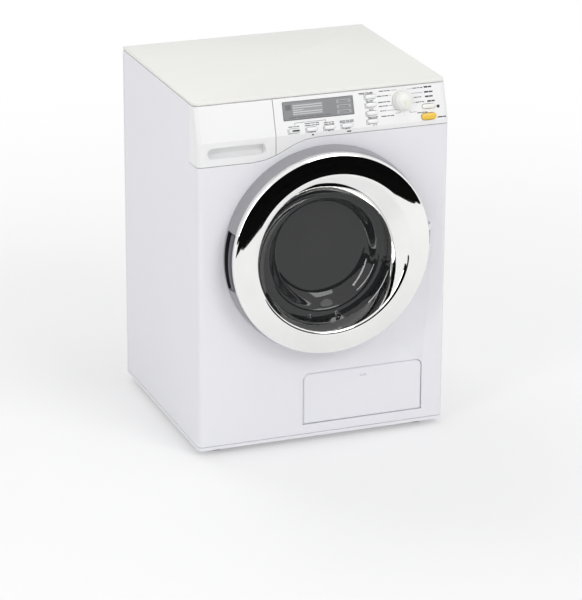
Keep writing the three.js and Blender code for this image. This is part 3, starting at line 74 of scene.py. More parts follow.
def settle(piece, where=None):
    # puts a piece at its place, with that place in its mesh
    if where is not None:
        piece.matrix_world = where @ piece.matrix_world
    pick(piece)
    bpy.ops.object.transform_apply(location=True, rotation=True, scale=True)
    return piece


def editAll(piece):
    pick(piece)
    bpy.ops.object.mode_set(mode="EDIT")
    bpy.ops.mesh.select_all(action="SELECT")


def smooth(piece, angle=35):
    pick(piece)
    bpy.ops.object.shade_smooth_by_angle(angle=math.radians(angle))


def applyModifier(piece, kind, **values):
    pick(piece)
    modifier = piece.modifiers.new(kind.lower(), kind)
    for key, value in values.items():
        setattr(modifier, key, value)
    bpy.ops.object.modifier_apply(modifier=modifier.name)


def softenEdges(piece, width, segments=2, angle=32):
    # smoothed first: a later change of the sharp edges would turn the hardened normals
    smooth(piece, angle)
    applyModifier(piece, "BEVEL", width=width * mm, segments=segments, limit_method="ANGLE",
                  angle_limit=math.radians(angle), use_clamp_overlap=True, harden_normals=True)


def bevelWhere(piece, test, width, segments):
    # bevels the edges whose two ends both pass the test
    pick(piece)
    mesh = piece.data
    for item in list(mesh.polygons) + list(mesh.edges) + list(mesh.vertices):
        item.select = False
    for edge in mesh.edges:
        ends = [mesh.vertices[i].co for i in edge.vertices]
        edge.select = test(ends[0] / mm, ends[1] / mm)
    bpy.ops.object.mode_set(mode="EDIT")
    bpy.ops.mesh.select_mode(type="EDGE")
    bpy.ops.mesh.bevel(offset=width * mm, segments=segments, affect="EDGES")
    bpy.ops.object.mode_set(mode="OBJECT")


def pickFaces(piece, test):
    # goes to edit mode with the faces selected that pass the test,
    # which gets a face's centre in mm and its normal
    pick(piece)
    mesh = piece.data
    for item in list(mesh.vertices) + list(mesh.edges) + list(mesh.polygons):
        item.select = False
    for face in mesh.polygons:
        face.select = test(face.center / mm, face.normal)
    bpy.ops.object.mode_set(mode="EDIT")
    bpy.ops.mesh.select_mode(type="FACE")


def turnedPiece(name, rings, where, sides=144, closed=False):
    # rings are (radius, height) or (radius, height, shift), in mm
    clearSelection()
    pole = 0.02  # the least radius, which stands for 0
    radius, height, shift = (list(rings[0]) + [0])[:3]
    radius = max(radius, pole)
    centre = (0, shift * mm, height * mm)
    bpy.ops.mesh.primitive_circle_add(vertices=sides, radius=radius * mm, location=centre)
    piece = bpy.context.object
    piece.name = name
    piece.data.name = name
    settle(piece)
    editAll(piece)
    for ring in rings[1:] + (rings[:1] if closed else []):
        newRadius, newHeight, newShift = (list(ring) + [0])[:3]
        newRadius = max(newRadius, pole)
        move = (0, (newShift - shift) * mm, (newHeight - height) * mm)
        bpy.ops.mesh.extrude_edges_move(TRANSFORM_OT_translate={"value": move})
        grow = newRadius / radius
        centre = (0, newShift * mm, newHeight * mm)
        bpy.ops.transform.resize(value=(grow, grow, grow), center_override=centre)
        radius, height, shift = newRadius, newHeight, newShift
    bpy.ops.mesh.select_all(action="SELECT")
    bpy.ops.mesh.remove_doubles(threshold=mergeDistance)
    if not closed:
        bpy.ops.mesh.select_mode(type="EDGE")
        bpy.ops.mesh.select_all(action="DESELECT")
        bpy.ops.mesh.select_non_manifold()
        bpy.ops.mesh.edge_face_add()
    bpy.ops.mesh.select_all(action="SELECT")
    bpy.ops.mesh.normals_make_consistent(inside=False)
    bpy.ops.object.mode_set(mode="OBJECT")
    settle(piece, where)
    smooth(piece)
    return piece


def blockPiece(name, x, y, z):
    # a plain block between limits in mm, to be bevelled or cut
    clearSelection()
    centre = [(a[0] + a[1]) / 2 * mm for a in (x, y, z)]
    size = [(a[1] - a[0]) * mm for a in (x, y, z)]
    bpy.ops.mesh.primitive_cube_add(size=1, location=centre, scale=size)
    piece = bpy.context.object
    piece.name = name
    piece.data.name = name
    return settle(piece)


def joinPieces(pieces, name):
    clearSelection()
    for piece in pieces:
        piece.select_set(True)
    bpy.context.view_layer.objects.active = pieces[0]
    if len(pieces) > 1:
        bpy.ops.object.join()
    pieces[0].name = name
    pieces[0].data.name = name
    return pieces[0]


def carve(piece, cutter, operation="DIFFERENCE"):
    applyModifier(piece, "BOOLEAN", operation=operation, solver="EXACT", object=cutter)
    bpy.data.objects.remove(cutter)


def copyOfNode(node, name):
    # a merged copy of a frame node, whose flat faces are whole again
    piece = bpy.data.objects.new(name, nodes[node].data.copy())
    bpy.context.scene.collection.objects.link(piece)
    piece.data.name = name
    piece.data.materials.clear()
    editAll(piece)
    bpy.ops.mesh.remove_doubles(threshold=2 * mergeDistance)
    bpy.ops.mesh.dissolve_limited(angle_limit=math.radians(0.6))
    bpy.ops.object.mode_set(mode="OBJECT")
    return piece


def titleOf(node):
    # the name of the piece that stands for a node
    parts = node.split("_")
    ending = "Piece" if len(parts) == 1 else ""
    return parts[0] + "".join(part.capitalize() for part in parts[1:]) + ending


def dress(piece, material, slot, body, *replaced):
    piece.data.materials.clear()
    piece.data.materials.append(material)
    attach(piece, body)
    if replaced:
        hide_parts(*replaced)
    return piece


# finishes

# the parts of a noise's values that are spread over a change of gloss, and of shade
noiseRange = (0.3, 0.7)
tintRange = (0.35, 0.65)


def newMaterial(name):
    material = bpy.data.materials.new(name)
    material.use_nodes = True
    tree = material.node_tree
    shader = tree.nodes["Principled BSDF"]
    coords = tree.nodes.new("ShaderNodeTexCoord")
    return material, tree, shader, coords.outputs["Object"]


def noise(tree, coords, scale, detail=3):
    node = tree.nodes.new("ShaderNodeTexNoise")
    node.inputs["Scale"].default_value = scale
    node.inputs["Detail"].default_value = detail
    tree.links.new(coords, node.inputs["Vector"])
    return node.outputs["Fac"]


def spread(tree, value, low, high):
    node = tree.nodes.new("ShaderNodeMapRange")
    node.inputs["From Min"].default_value, node.inputs["From Max"].default_value = noiseRange
    node.inputs["To Min"].default_value = low
    node.inputs["To Max"].default_value = high
    tree.links.new(value, node.inputs["Value"])
    return node.outputs["Result"]


def tint(tree, value, first, second):
    node = tree.nodes.new("ShaderNodeValToRGB")
    for element, position, colour in zip(node.color_ramp.elements, tintRange, (first, second)):
        element.position = position
        element.color = (*colour, 1)
    tree.links.new(value, node.inputs["Fac"])
    return node.outputs["Color"]


def raised(tree, value, strength, distance):
    node = tree.nodes.new("ShaderNodeBump")
    node.inputs["Strength"].default_value = strength
    node.inputs["Distance"].default_value = distance * mm
    tree.links.new(value, node.inputs["Height"])
    return node.outputs["Normal"]


plasticLook = {"patches": 12, "darker": 0.99, "gloss": (0.95, 1.05), "grainDepth": 0.02, "ior": 1.5}


def mouldedPlastic(name, colour, roughness, grain=0.1, grainScale=420):
    # moulded plastic: slow changes of shade and gloss, and a slight orange peel
    material, tree, shader, coords = newMaterial(name)
    slow = noise(tree, coords, plasticLook["patches"], 1)
    darker = [c * plasticLook["darker"] for c in colour]
    gloss = [roughness * share for share in plasticLook["gloss"]]
    peel = raised(tree, noise(tree, coords, grainScale, 1), grain, plasticLook["grainDepth"])
    tree.links.new(tint(tree, slow, darker, colour), shader.inputs["Base Color"])
    tree.links.new(spread(tree, slow, *gloss), shader.inputs["Roughness"])
    tree.links.new(peel, shader.inputs["Normal"])
    shader.inputs["IOR"].default_value = plasticLook["ior"]
    return material


def polished(name, look):
    # a smooth surface: slow changes of shade and gloss, and the slight waves of its mould
    material, tree, shader, coords = newMaterial(name)
    shade = tint(tree, noise(tree, coords, look["patches"]), *look["colours"])
    gloss = spread(tree, noise(tree, coords, look["glossPatches"], 1), *look["roughness"])
    waves = noise(tree, coords, look["waves"], 1)
    wave = raised(tree, waves, look["waveStrength"], look["waveDepth"])
    tree.links.new(shade, shader.inputs["Base Color"])
    tree.links.new(gloss, shader.inputs["Roughness"])
    tree.links.new(wave, shader.inputs["Normal"])
    return material, shader


chromeLook = {
    "colours": ((0.86, 0.86, 0.85), (0.9, 0.9, 0.89)), "patches": 30,
    "roughness": (0.025, 0.045), "glossPatches": 20,
    "waves": 26, "waveStrength": 0.25, "waveDepth": 0.08,
}


def chromePlate(name):
    # plated plastic, nearly a mirror
    material, shader = polished(name, chromeLook)
    shader.inputs["Metallic"].default_value = 1
    return material


smokeLook = {
    "colours": ((0.028, 0.029, 0.031), (0.032, 0.033, 0.035)), "patches": 15,
    "roughness": (0.02, 0.035), "glossPatches": 20,
    "waves": 20, "waveStrength": 0.15, "waveDepth": 0.05,
    "ior": 1.5, "transmission": 0.35,
}


def smokedPlastic(name):
    # clear plastic with a dark tint
    material, shader = polished(name, smokeLook)
    shader.inputs["IOR"].default_value = smokeLook["ior"]
    shader.inputs["Transmission Weight"].default_value = smokeLook["transmission"]
    return material


metalLook = {"lines": 500, "darker": 0.95, "lineStrength": 0.08, "lineDepth": 0.01}


def metal(name, colour, roughness, stretch=(1, 1, 1)):
    # turned or drawn steel, with fine lines along one direction
    material, tree, shader, coords = newMaterial(name)
    mapping = tree.nodes.new("ShaderNodeMapping")
    mapping.inputs["Scale"].default_value = stretch
    tree.links.new(coords, mapping.inputs["Vector"])
    lines = noise(tree, mapping.outputs["Vector"], metalLook["lines"], 1)
    darker = [c * metalLook["darker"] for c in colour]
    drawn = raised(tree, lines, metalLook["lineStrength"], metalLook["lineDepth"])
    tree.links.new(tint(tree, lines, darker, colour), shader.inputs["Base Color"])
    tree.links.new(drawn, shader.inputs["Normal"])
    shader.inputs["Metallic"].default_value = 1
    shader.inputs["Roughness"].default_value = roughness
    return material


finishes = {
    "white_plastic": mouldedPlastic("bodyWhite", (0.83, 0.83, 0.868), 0.3),
    "panel_plastic": mouldedPlastic("panelWhite", (0.87, 0.87, 0.875), 0.3),
    "cream_plastic": mouldedPlastic("lidCream", (0.85, 0.85, 0.818), 0.36),
    "chrome": chromePlate("doorChrome"),
    "grey_plastic": mouldedPlastic("frameGrey", (0.34, 0.336, 0.36), 0.36),
    "dark_plastic": mouldedPlastic("gripDark", (0.095, 0.09, 0.11), 0.35),
    "smoke_plastic": smokedPlastic("bowlSmoke"),
    "screen": mouldedPlastic("screenGrey", (0.25, 0.258, 0.265), 0.2, grain=0.02),
    "yellow_plastic": mouldedPlastic("keyYellow", (0.86, 0.56, 0.055), 0.32),
    "silver_plastic": metal("drumSilver", (0.62, 0.63, 0.64), 0.32, (1, 0.05, 1)),
    "steel": metal("plainSteel", (0.6, 0.6, 0.61), 0.3, (1, 0.1, 1)),
    "rubber": mouldedPlastic("sealRubber", (0.16, 0.16, 0.18), 0.75, 0.3, 900),
    "natural_plastic": mouldedPlastic("innerNatural", (0.66, 0.64, 0.57), 0.45),
    "circuit_green": mouldedPlastic("boardGreen", (0.04, 0.16, 0.08), 0.4),
    "black_plastic": mouldedPlastic("innerBlack", (0.02, 0.02, 0.022), 0.45),
}
printDark = mouldedPlastic("printDark", (0.018, 0.018, 0.02), 0.5, grain=0.02)
printGrey = mouldedPlastic("printGrey", (0.13, 0.13, 0.14), 0.5, grain=0.02)
printLight = mouldedPlastic("printLight", (0.62, 0.63, 0.63), 0.4, grain=0.02)
printYellow = mouldedPlastic("printYellow", (0.9, 0.8, 0.3), 0.4, grain=0.02)
printPale = mouldedPlastic("printPale", (0.32, 0.335, 0.345), 0.25, grain=0.02)
printScreen = mouldedPlastic("printScreen", (0.38, 0.395, 0.405), 0.25, grain=0.02)
printShade = mouldedPlastic("printShade", (0.15, 0.155, 0.165), 0.25, grain=0.02)

slotOf = {row["node"]: row["material_slot"] for row in frame["record"]["subparts"]}
bodies = frame["record"]["behaviour"]["bodies"]
bodyOf = {node: body for body, rows in bodies.items() for node in rows}
for nodeName, node in nodes.items():
    node.data.materials.clear()
    node.data.materials.append(finishes[slotOf[nodeName]])
print("finishes made and given to the frame's pieces")


# camera, floor and light

cameraValues = {
    "location": (-0.7307, -1.9318, 0.8408),
    "forward": (0.33041649, 0.87806225, -0.34616705),
    "right": (0.93639327, -0.35093366, 0.0036346),
    "focalPixels": 3003.06, "framePixels": 600, "sensor": 36, "near": 0.05,
    "shift": (0.01463, 0.0093),
}


def addCamera():
    clearSelection()
    bpy.ops.object.camera_add(location=cameraValues["location"])
    camera = bpy.context.object
    forward = Vector(cameraValues["forward"]).normalized()
    right = Vector(cameraValues["right"])
    right = (right - forward * right.dot(forward)).normalized()
    turn = Matrix((right, right.cross(forward), -forward)).transposed()
    camera.rotation_euler = turn.to_euler()
    camera.data.sensor_width = cameraValues["sensor"]
    camera.data.sensor_fit = "AUTO"
    focal = cameraValues["focalPixels"] * cameraValues["sensor"]
    camera.data.lens = focal / cameraValues["framePixels"]
    camera.data.shift_x, camera.data.shift_y = cameraValues["shift"]
    camera.data.clip_start = cameraValues["near"]
    bpy.context.scene.camera = camera


floorValues = {
    "size": 14.0, "colour": (0.95, 0.95, 0.953), "patches": 3, "darker": 0.985,
    "roughness": 0.6, "specular": 0.2,
    # the share of plain white that the camera sees, and the distances in m between which it grows
    "white": (0.3, 1.0), "reach": (0.08, 0.9),
}


def seenDirectly(tree):
    # 1 for what the camera sees, also by way of a reflection or through something clear
    path = tree.nodes.new("ShaderNodeLightPath")
    seen = path.outputs["Is Camera Ray"]
    for ray in ("Is Glossy Ray", "Is Transmission Ray"):
        either = tree.nodes.new("ShaderNodeMath")
        either.operation = "MAXIMUM"
        tree.links.new(seen, either.inputs[0])
        tree.links.new(path.outputs[ray], either.inputs[1])
        seen = either.outputs[0]
    return seen


def addFloor():
    clearSelection()
    bpy.ops.mesh.primitive_plane_add(size=floorValues["size"], location=(0, 0, 0))
    floor = bpy.context.object
    floor.name = "floor"
    material, tree, shader, coords = newMaterial("paleFloor")
    colour = floorValues["colour"]
    darker = [c * floorValues["darker"] for c in colour]
    shade = tint(tree, noise(tree, coords, floorValues["patches"]), darker, colour)
    tree.links.new(shade, shader.inputs["Base Color"])
    shader.inputs["Roughness"].default_value = floorValues["roughness"]
    shader.inputs["Specular IOR Level"].default_value = floorValues["specular"]
    # seen directly or mirrored, the floor goes over into the white background with distance
    away = tree.nodes.new("ShaderNodeVectorMath")
    away.operation = "LENGTH"
    tree.links.new(coords, away.inputs[0])
    share = tree.nodes.new("ShaderNodeMapRange")
    share.interpolation_type = "SMOOTHSTEP"
    near, far = floorValues["reach"]
    least, most = floorValues["white"]
    share.inputs["From Min"].default_value = near
    share.inputs["From Max"].default_value = far
    share.inputs["To Min"].default_value = least
    share.inputs["To Max"].default_value = most
    tree.links.new(away.outputs["Value"], share.inputs["Value"])
    seen = tree.nodes.new("ShaderNodeMath")
    seen.operation = "MULTIPLY"
    tree.links.new(share.outputs["Result"], seen.inputs[0])
    tree.links.new(seenDirectly(tree), seen.inputs[1])
    white = tree.nodes.new("ShaderNodeEmission")
    mix = tree.nodes.new("ShaderNodeMixShader")
    tree.links.new(seen.outputs[0], mix.inputs["Fac"])
    tree.links.new(shader.outputs[0], mix.inputs[1])
    tree.links.new(white.outputs[0], mix.inputs[2])
    tree.links.new(mix.outputs[0], tree.nodes["Material Output"].inputs["Surface"])
    floor.data.materials.append(material)


# the dark end of the room, which only reflections show
roomValues = {
    "colour": (0.004, 0.004, 0.004),
    "wall": {"y": -1.3, "width": 9.0, "height": 0.74},
    "ground": {
        "edge": (0, -0.66), "turn": -13.5, "left": 0.5, "right": 3.0, "depth": 3.0, "z": 0.001,
    },
}


def darkCard(name, corners):
    clearSelection()
    bpy.ops.mesh.primitive_plane_add(size=1)
    card = bpy.context.object
    card.name = name
    (left, low), (right, high) = corners
    card.location = ((left + right) / 2, (low + high) / 2, 0)
    card.scale = (right - left, high - low, 1)
    settle(card)
    material, tree, shader, coords = newMaterial(name + "Dark")
    shader.inputs["Base Color"].default_value = (*roomValues["colour"], 1)
    shader.inputs["Roughness"].default_value = 1
    shader.inputs["Specular IOR Level"].default_value = 0
    card.data.materials.append(material)
    card.visible_camera = False
    card.visible_diffuse = False
    card.visible_shadow = False
    card.visible_transmission = False
    return card


def addDarkRoom():
    wall = roomValues["wall"]
    half = wall["width"] / 2
    standing = Matrix.Translation((0, wall["y"], 0)) @ Matrix.Rotation(math.pi / 2, 4, "X")
    settle(darkCard("darkWall", ((-half, 0), (half, wall["height"]))), standing)
    ground = roomValues["ground"]
    turn = Matrix.Rotation(math.radians(ground["turn"]), 4, "Z")
    corners = ((-ground["left"], -ground["depth"]), (ground["right"], 0))
    lying = Matrix.Translation((*ground["edge"], ground["z"])) @ turn
    settle(darkCard("darkGround", corners), lying)


lightValues = {
    "world": 0.52,
    "lamps": [  # place, size, watts
        ((0.75, -1.9, 1.5), (1.1, 1.1), 15.5),
        ((0.45, -0.4, 2.1), (1.0, 1.0), 4.6),
        ((-0.6, 1.8, 1.8), (1.6, 1.6), 14.0),
        ((-0.9, -0.65, 0.64), (0.1, 0.95), 2.6),
    ],
    "aim": (0, 0, 0.13),
    "stripAlong": (0.515, -0.08, 0.85),  # which way the narrow lamp's long side runs
}


def addLight():
    for i, (spot, size, watts) in enumerate(lightValues["lamps"]):
        clearSelection()
        bpy.ops.object.light_add(type="AREA", location=spot)
        lamp = bpy.context.object
        lamp.name = f"softbox{i + 1}"
        lamp.data.shape = "RECTANGLE"
        lamp.data.size, lamp.data.size_y = size
        lamp.data.energy = watts
        back = (Vector(spot) - Vector(lightValues["aim"])).normalized()
        along = Vector(lightValues["stripAlong"]) if size[0] < size[1] else Vector((0, 0, 1))
        side = along.cross(back).normalized()
        lamp.rotation_euler = Matrix((side, back.cross(side), back)).transposed().to_euler()
    world = bpy.data.worlds.new("studio")
    bpy.context.scene.world = world
    world.use_nodes = True
    tree = world.node_tree
    output = tree.nodes["World Output"]
    soft = tree.nodes["Background"]
    soft.inputs["Color"].default_value = (1, 1, 1, 1)
    soft.inputs["Strength"].default_value = lightValues["world"]
    white = tree.nodes.new("ShaderNodeBackground")
    white.inputs["Color"].default_value = (1, 1, 1, 1)
    white.inputs["Strength"].default_value = 1
    mix = tree.nodes.new("ShaderNodeMixShader")
    tree.links.new(seenDirectly(tree), mix.inputs["Fac"])
    tree.links.new(soft.outputs[0], mix.inputs[1])
    tree.links.new(white.outputs[0], mix.inputs[2])
    tree.links.new(mix.outputs[0], output.inputs["Surface"])


addCamera()
addFloor()
addDarkRoom()
addLight()
bpy.context.scene.view_settings.view_transform = "Standard"
print("camera, floor and light set")


# door, turned about its own axis; heights run inwards from the front

chrome = {
    "outside": 73.9, "back": -86.0, "wall": 1.1,
    # the rounded outer edge: its radius, its front, and its steps with their turn in degrees
    "rounding": 2.8, "roundingFront": -91.1, "roundingSteps": 9, "roundingTurn": 9,
    "band": [
        (70.0, -91.25), (68.0, -91.62), (66.0, -91.92), (64.0, -92.15), (62.0, -92.32),
        (60.0, -92.45), (58.9, -92.5),
    ],
    # radius, height and drop, over the crest and then down the funnel to the bowl
    "crest": [
        (58.2, -92.45, 0), (57.5, -92.25, 0.05), (56.8, -91.9, 0.25), (56.2, -91.45, 0.5),
        (55.7, -91.0, 0.8),
    ],
    "funnel": [
        (52.0, -86.5, 3.2), (48.3, -81.9, 5.6), (47.9, -81.2, 5.9), (47.8, -80.4, 6.0),
        (47.8, -74.5, 6.0),
    ],
    "inner": [
        (57.6, -90.6), (62.4, -90.9), (67.0, -90.3), (70.4, -89.6), (72.3, -88.3), (72.7, -87.0),
    ],
}


def chromeRing():
    turn, outside, front = chrome["rounding"], chrome["outside"], chrome["roundingFront"]
    edge = []
    for i in range(chrome["roundingSteps"]):
        angle = math.radians(chrome["roundingTurn"] * i)
        edge.append((outside - turn * (1 - math.cos(angle)), front + turn * (1 - math.sin(angle))))
    outer = [(outside, chrome["back"])] + edge + chrome["band"] + chrome["crest"]
    behind = [(r + chrome["wall"], y, drop) for r, y, drop in reversed(chrome["funnel"])]
    inner = chrome["inner"] + [(chrome["inner"][-1][0], chrome["back"])]
    rings = outer + chrome["funnel"] + behind + inner
    piece = turnedPiece("doorChromeRing", rings, onDoorAxis, closed=True)
    return dress(piece, finishes["chrome"], "chrome", "door", "door_chrome_ring")


frameShape = {
    "rings": [
        (73.95, -85.7), (74.25, -85.4), (74.6, -84.6), (74.85, -83.0), (75.05, -81.0),
        (75.2, -79.0), (75.3, -77.0), (75.3, -73.7), (75.15, -73.4), (74.8, -73.3), (57.8, -73.3),
        (57.5, -73.0), (57.5, -71.1), (57.2, -70.8), (44.4, -70.8, 5.5), (44.0, -71.2, 5.5),
        (44.0, -72.2, 5.5), (44.4, -72.6, 5.5), (56.0, -72.6), (56.0, -75.1), (73.1, -75.1),
        (73.1, -78.8), (72.6, -83.5), (71.9, -85.5), (72.1, -85.7),
    ],
    # the grip's window: its front and back, its turn to either side, and how far its cutter goes
    "window": (-86.5, -75.5), "windowTurn": 16.56, "reach": 90,
    # the room for the hinge arm, and the slot that the latch tongue stands in
    "notch": {"x": (70.5, 80), "y": (-80, -73), "half": 13},
    "slot": ((-67.3, -64.7), (-76, -73), (143.7, 152.3)),
}


def wedgeCutter(turn, y):
    # a wedge from the door's axis towards the handle side: a block whose near end is drawn together
    clearSelection()
    reach = frameShape["reach"]
    high = 2 * reach * math.tan(math.radians(turn))
    middle = (-reach / 2 * mm, (y[0] + y[1]) / 2 * mm, place["doorZ"] * mm)
    size = (reach * mm, (y[1] - y[0]) * mm, high * mm)
    bpy.ops.mesh.primitive_cube_add(size=1, location=middle, scale=size)
    cutter = settle(bpy.context.object)
    pickFaces(cutter, lambda centre, normal: normal.x > 0.9)
    axis = (0, 0, place["doorZ"] * mm)
    bpy.ops.transform.resize(value=(1, 1, 0.001), center_override=axis)
    bpy.ops.object.mode_set(mode="OBJECT")
    return cutter


def doorFrame():
    piece = turnedPiece("doorFrame", frameShape["rings"], onDoorAxis, closed=True)
    carve(piece, wedgeCutter(frameShape["windowTurn"], frameShape["window"]))
    notch = frameShape["notch"]
    notchZ = (place["doorZ"] - notch["half"], place["doorZ"] + notch["half"])
    carve(piece, blockPiece("notch", notch["x"], notch["y"], notchZ))
    carve(piece, blockPiece("slot", *frameShape["slot"]))
    smooth(piece)
    return dress(piece, finishes["grey_plastic"], "grey_plastic", "door", "door_frame")


# radius, height and drop, over the bowl's front and then back behind it
bowlShape = {
    "front": [
        (55.4, -74.1), (43.0, -74.1, 5.0), (42.2, -74.0, 5.0), (41.4, -73.6, 5.0),
        (40.7, -73.0, 4.9), (39.8, -71.9, 4.7), (38.7, -70.4, 4.4), (37.6, -69.0, 4.1),
        (36.5, -67.5, 3.6), (35.4, -66.3, 3.0), (34.5, -65.5, 2.6), (33.7, -65.0, 2.35),
        (32.9, -64.8, 2.2), (20, -64.8, 2.2), (0, -64.8, 2.2),
    ],
    "back": [
        (0, -63.6, 2.2), (20, -63.6, 2.2), (33.3, -63.6, 2.2), (34.8, -64.2, 2.5),
        (36.4, -65.7, 3.0), (38.4, -68.6, 3.9), (40.3, -71.3, 4.6), (41.7, -72.9, 5.0),
        (55.4, -72.9), (55.6, -73.1), (55.6, -73.9),
    ],
}


def smokedBowl():
    rings = bowlShape["front"] + bowlShape["back"]
    piece = turnedPiece("doorBowl", rings, onDoorAxis, closed=True)
    return dress(piece, finishes["smoke_plastic"], "smoke_plastic", "door", "door_bowl")


# each bar is inner and outer radius, front and back, with its turn to either side in degrees
gripShape = {
    "bar": (71.2, 74.6, -86.0, -80.5), "barTurn": 16.1, "barSoft": 0.7,
    # the plate and the lip are painted shade: black pieces for the shade inside the grip's window
    "plate": (69.2, 71.2, -87.1, -75.5), "plateTurn": 17.9, "plateSoft": 0.2,
    "lip": (70.8, 75.2, -75.75, -75.45), "shadeLipTurn": 16.5,
    "steps": 18,
}


def spunBar(name, limits, turn):
    # a bar that follows the door's rim: a small face spun about the door's axis
    low, high, front, back = limits
    axis = (0, 0, place["doorZ"] * mm)
    middle = (-(low + high) / 2 * mm, (front + back) / 2 * mm, place["doorZ"] * mm)
    clearSelection()
    bpy.ops.mesh.primitive_plane_add(size=1, location=middle)
    piece = bpy.context.object
    piece.name = name
    piece.scale = ((high - low) * mm, (back - front) * mm, 1)
    settle(piece)
    editAll(piece)
    angle = math.radians(turn)
    # turned to one end of the bar, from where the spin goes to the other
    bpy.ops.transform.rotate(value=-angle, orient_axis="Y", center_override=axis)
    bpy.ops.mesh.spin(steps=gripShape["steps"], angle=2 * angle, center=axis, axis=(0, 1, 0))
    bpy.ops.mesh.select_all(action="SELECT")
    bpy.ops.mesh.remove_doubles(threshold=mergeDistance)
    bpy.ops.mesh.normals_make_consistent(inside=False)
    bpy.ops.object.mode_set(mode="OBJECT")
    return piece


def gripBar():
    bar = spunBar("gripBar", gripShape["bar"], gripShape["barTurn"])
    softenEdges(bar, gripShape["barSoft"], 3)
    # painted shade: a black plate lines the grip's window, where the window's shade falls
    plate = spunBar("gripShadePlate", gripShape["plate"], gripShape["plateTurn"])
    softenEdges(plate, gripShape["plateSoft"])
    # painted shade: a black rim on the far wall of the grip's window, where the window's shade
    # falls
    lip = spunBar("gripShadeLip", gripShape["lip"], gripShape["shadeLipTurn"])
    plate = joinPieces([plate, lip], "gripShadePlate")
    dress(plate, finishes["black_plastic"], "black_plastic", "door")
    return dress(bar, finishes["dark_plastic"], "dark_plastic", "door", "door_grip")


chromeRing()
doorFrame()
smokedBowl()
gripBar()
print("door made")


# panel pieces, modelled flat and then laid on the slanted face

keyShape = {
    "back": -3.3, "rim": 0.45, "flange": 0.9, "flangeDepth": 1.0,
    "stem": 1.1, "stemEnd": -7.5, "overlap": 0.5,
    # the round ends, as a share of half the height
    "endShare": 0.985, "endSteps": 8,
}
# the middles of the small keys: a row under the display and a column beside it
keyPlaces = {
    "option": [(-22.5 + 13.1 * i, 2.5) for i in range(4)],
    "setting": [(36.2, 3.5 + 5.75 * i) for i in range(4)],
}
smallKey = (8, 3, 0.9)  # width, height, how proud it stands
keys = []  # node, middle, width, height, how proud it stands, finish
for kind, spots in keyPlaces.items():
    for i, spot in enumerate(spots):
        keys.append((f"{kind}_key_{i + 1}", *spot, *smallKey, "panel_plastic"))
keys += [
    ("door_key", 79.2, 10.0, 9.8, 3.2, 0.9, "cream_plastic"),
    ("start_key", 78.5, 2.9, 11, 4.6, 1.6, "yellow_plastic"),
]


def ovalBlock(name, u, v, width, height, low, high, rim):
    # a block with round ends, and with a rounded rim at the front where one is asked for
    wide, tall = (u - width / 2, u + width / 2), (v - height / 2, v + height / 2)
    piece = blockPiece(name, wide, tall, (low, high))
    end = height / 2 * keyShape["endShare"]
    bevelWhere(piece, lambda a, b: abs(a.z - b.z) > (high - low) / 2, end, keyShape["endSteps"])
    if rim:
        bevelWhere(piece, lambda a, b: min(a.z, b.z) > high - 0.001, rim, 3)
    return piece


def keyCap(name, u, v, width, height, proud, slot):
    title = titleOf(name)
    back, end = keyShape["back"], keyShape["stemEnd"]
    cap = ovalBlock(title, u, v, width, height, back, proud, keyShape["rim"])
    grow, front = 2 * keyShape["flange"], back + keyShape["flangeDepth"]
    flange = ovalBlock("flange", u, v, width + grow, height + grow, back, front, 0)
    clearSelection()
    depth = back - end + keyShape["overlap"]
    middle = (u * mm, v * mm, (end + depth / 2) * mm)
    bpy.ops.mesh.primitive_cylinder_add(
        vertices=16, radius=keyShape["stem"] * mm, depth=depth * mm, location=middle)
    stem = settle(bpy.context.object)
    piece = joinPieces([cap, flange, stem], title)
    settle(piece, onPanel)
    smooth(piece, 30)
    return dress(piece, finishes[slot], slot, name + "_unit", name)


knobShape = {
    "u": 59.8, "v": 15.7,
    # the stem, then the flange, then the cap
    "rings": [
        (0, -9.0), (1.8, -9.0), (2.0, -8.8), (2.0, 0.3), (7.2, 0.3), (7.45, 0.5), (7.5, 0.9),
        (7.45, 1.3), (7.3, 1.55), (6.95, 1.65), (6.8, 1.75), (6.72, 2.0), (6.6, 3.0), (6.45, 4.0),
        (6.25, 4.6), (5.95, 4.95), (5.5, 5.15), (5.0, 5.25), (4.85, 5.35), (4.75, 5.55), (4.6, 5.7),
        (4.35, 5.8), (0, 5.8),
    ],
    "pointer": {"width": 0.7, "length": 3.4, "low": 3.9, "z": (4.9, 6.1), "soft": 0.15},
}


def selectorKnob():
    u, v, pointer = knobShape["u"], knobShape["v"], knobShape["pointer"]
    at = onPanel @ Matrix.Translation((u * mm, v * mm, 0))
    piece = turnedPiece("selectorKnob", knobShape["rings"], at, sides=72, closed=True)
    dress(piece, finishes["cream_plastic"], "cream_plastic", "selector", "selector_knob")
    wide = (u - pointer["width"] / 2, u + pointer["width"] / 2)
    low = v - pointer["low"]
    rib = blockPiece("knobPointer", wide, (low, low + pointer["length"]), pointer["z"])
    softenEdges(rib, pointer["soft"])
    settle(rib, onPanel)
    return dress(rib, printYellow, "yellow_plastic", "selector")


screenShape = {
    "u": (-29.2, 22.9), "v": (10.1, 22.7), "back": -3.3, "proud": 0.25, "soft": 0.3,
    "flange": 1.2, "flangeDepth": 1,
}


def displayScreen():
    u, v, grow, back = (screenShape[key] for key in ("u", "v", "flange", "back"))
    lens = blockPiece("displayWindow", u, v, (back, screenShape["proud"]))
    softenEdges(lens, screenShape["soft"], 3)
    wide, tall = (u[0] - grow, u[1] + grow), (v[0] - grow, v[1] + grow)
    flange = blockPiece("flange", wide, tall, (back, back + screenShape["flangeDepth"]))
    piece = settle(joinPieces([lens, flange], "displayWindow"), onPanel)
    return dress(piece, finishes["screen"], "screen", "cabinet", "display_window")


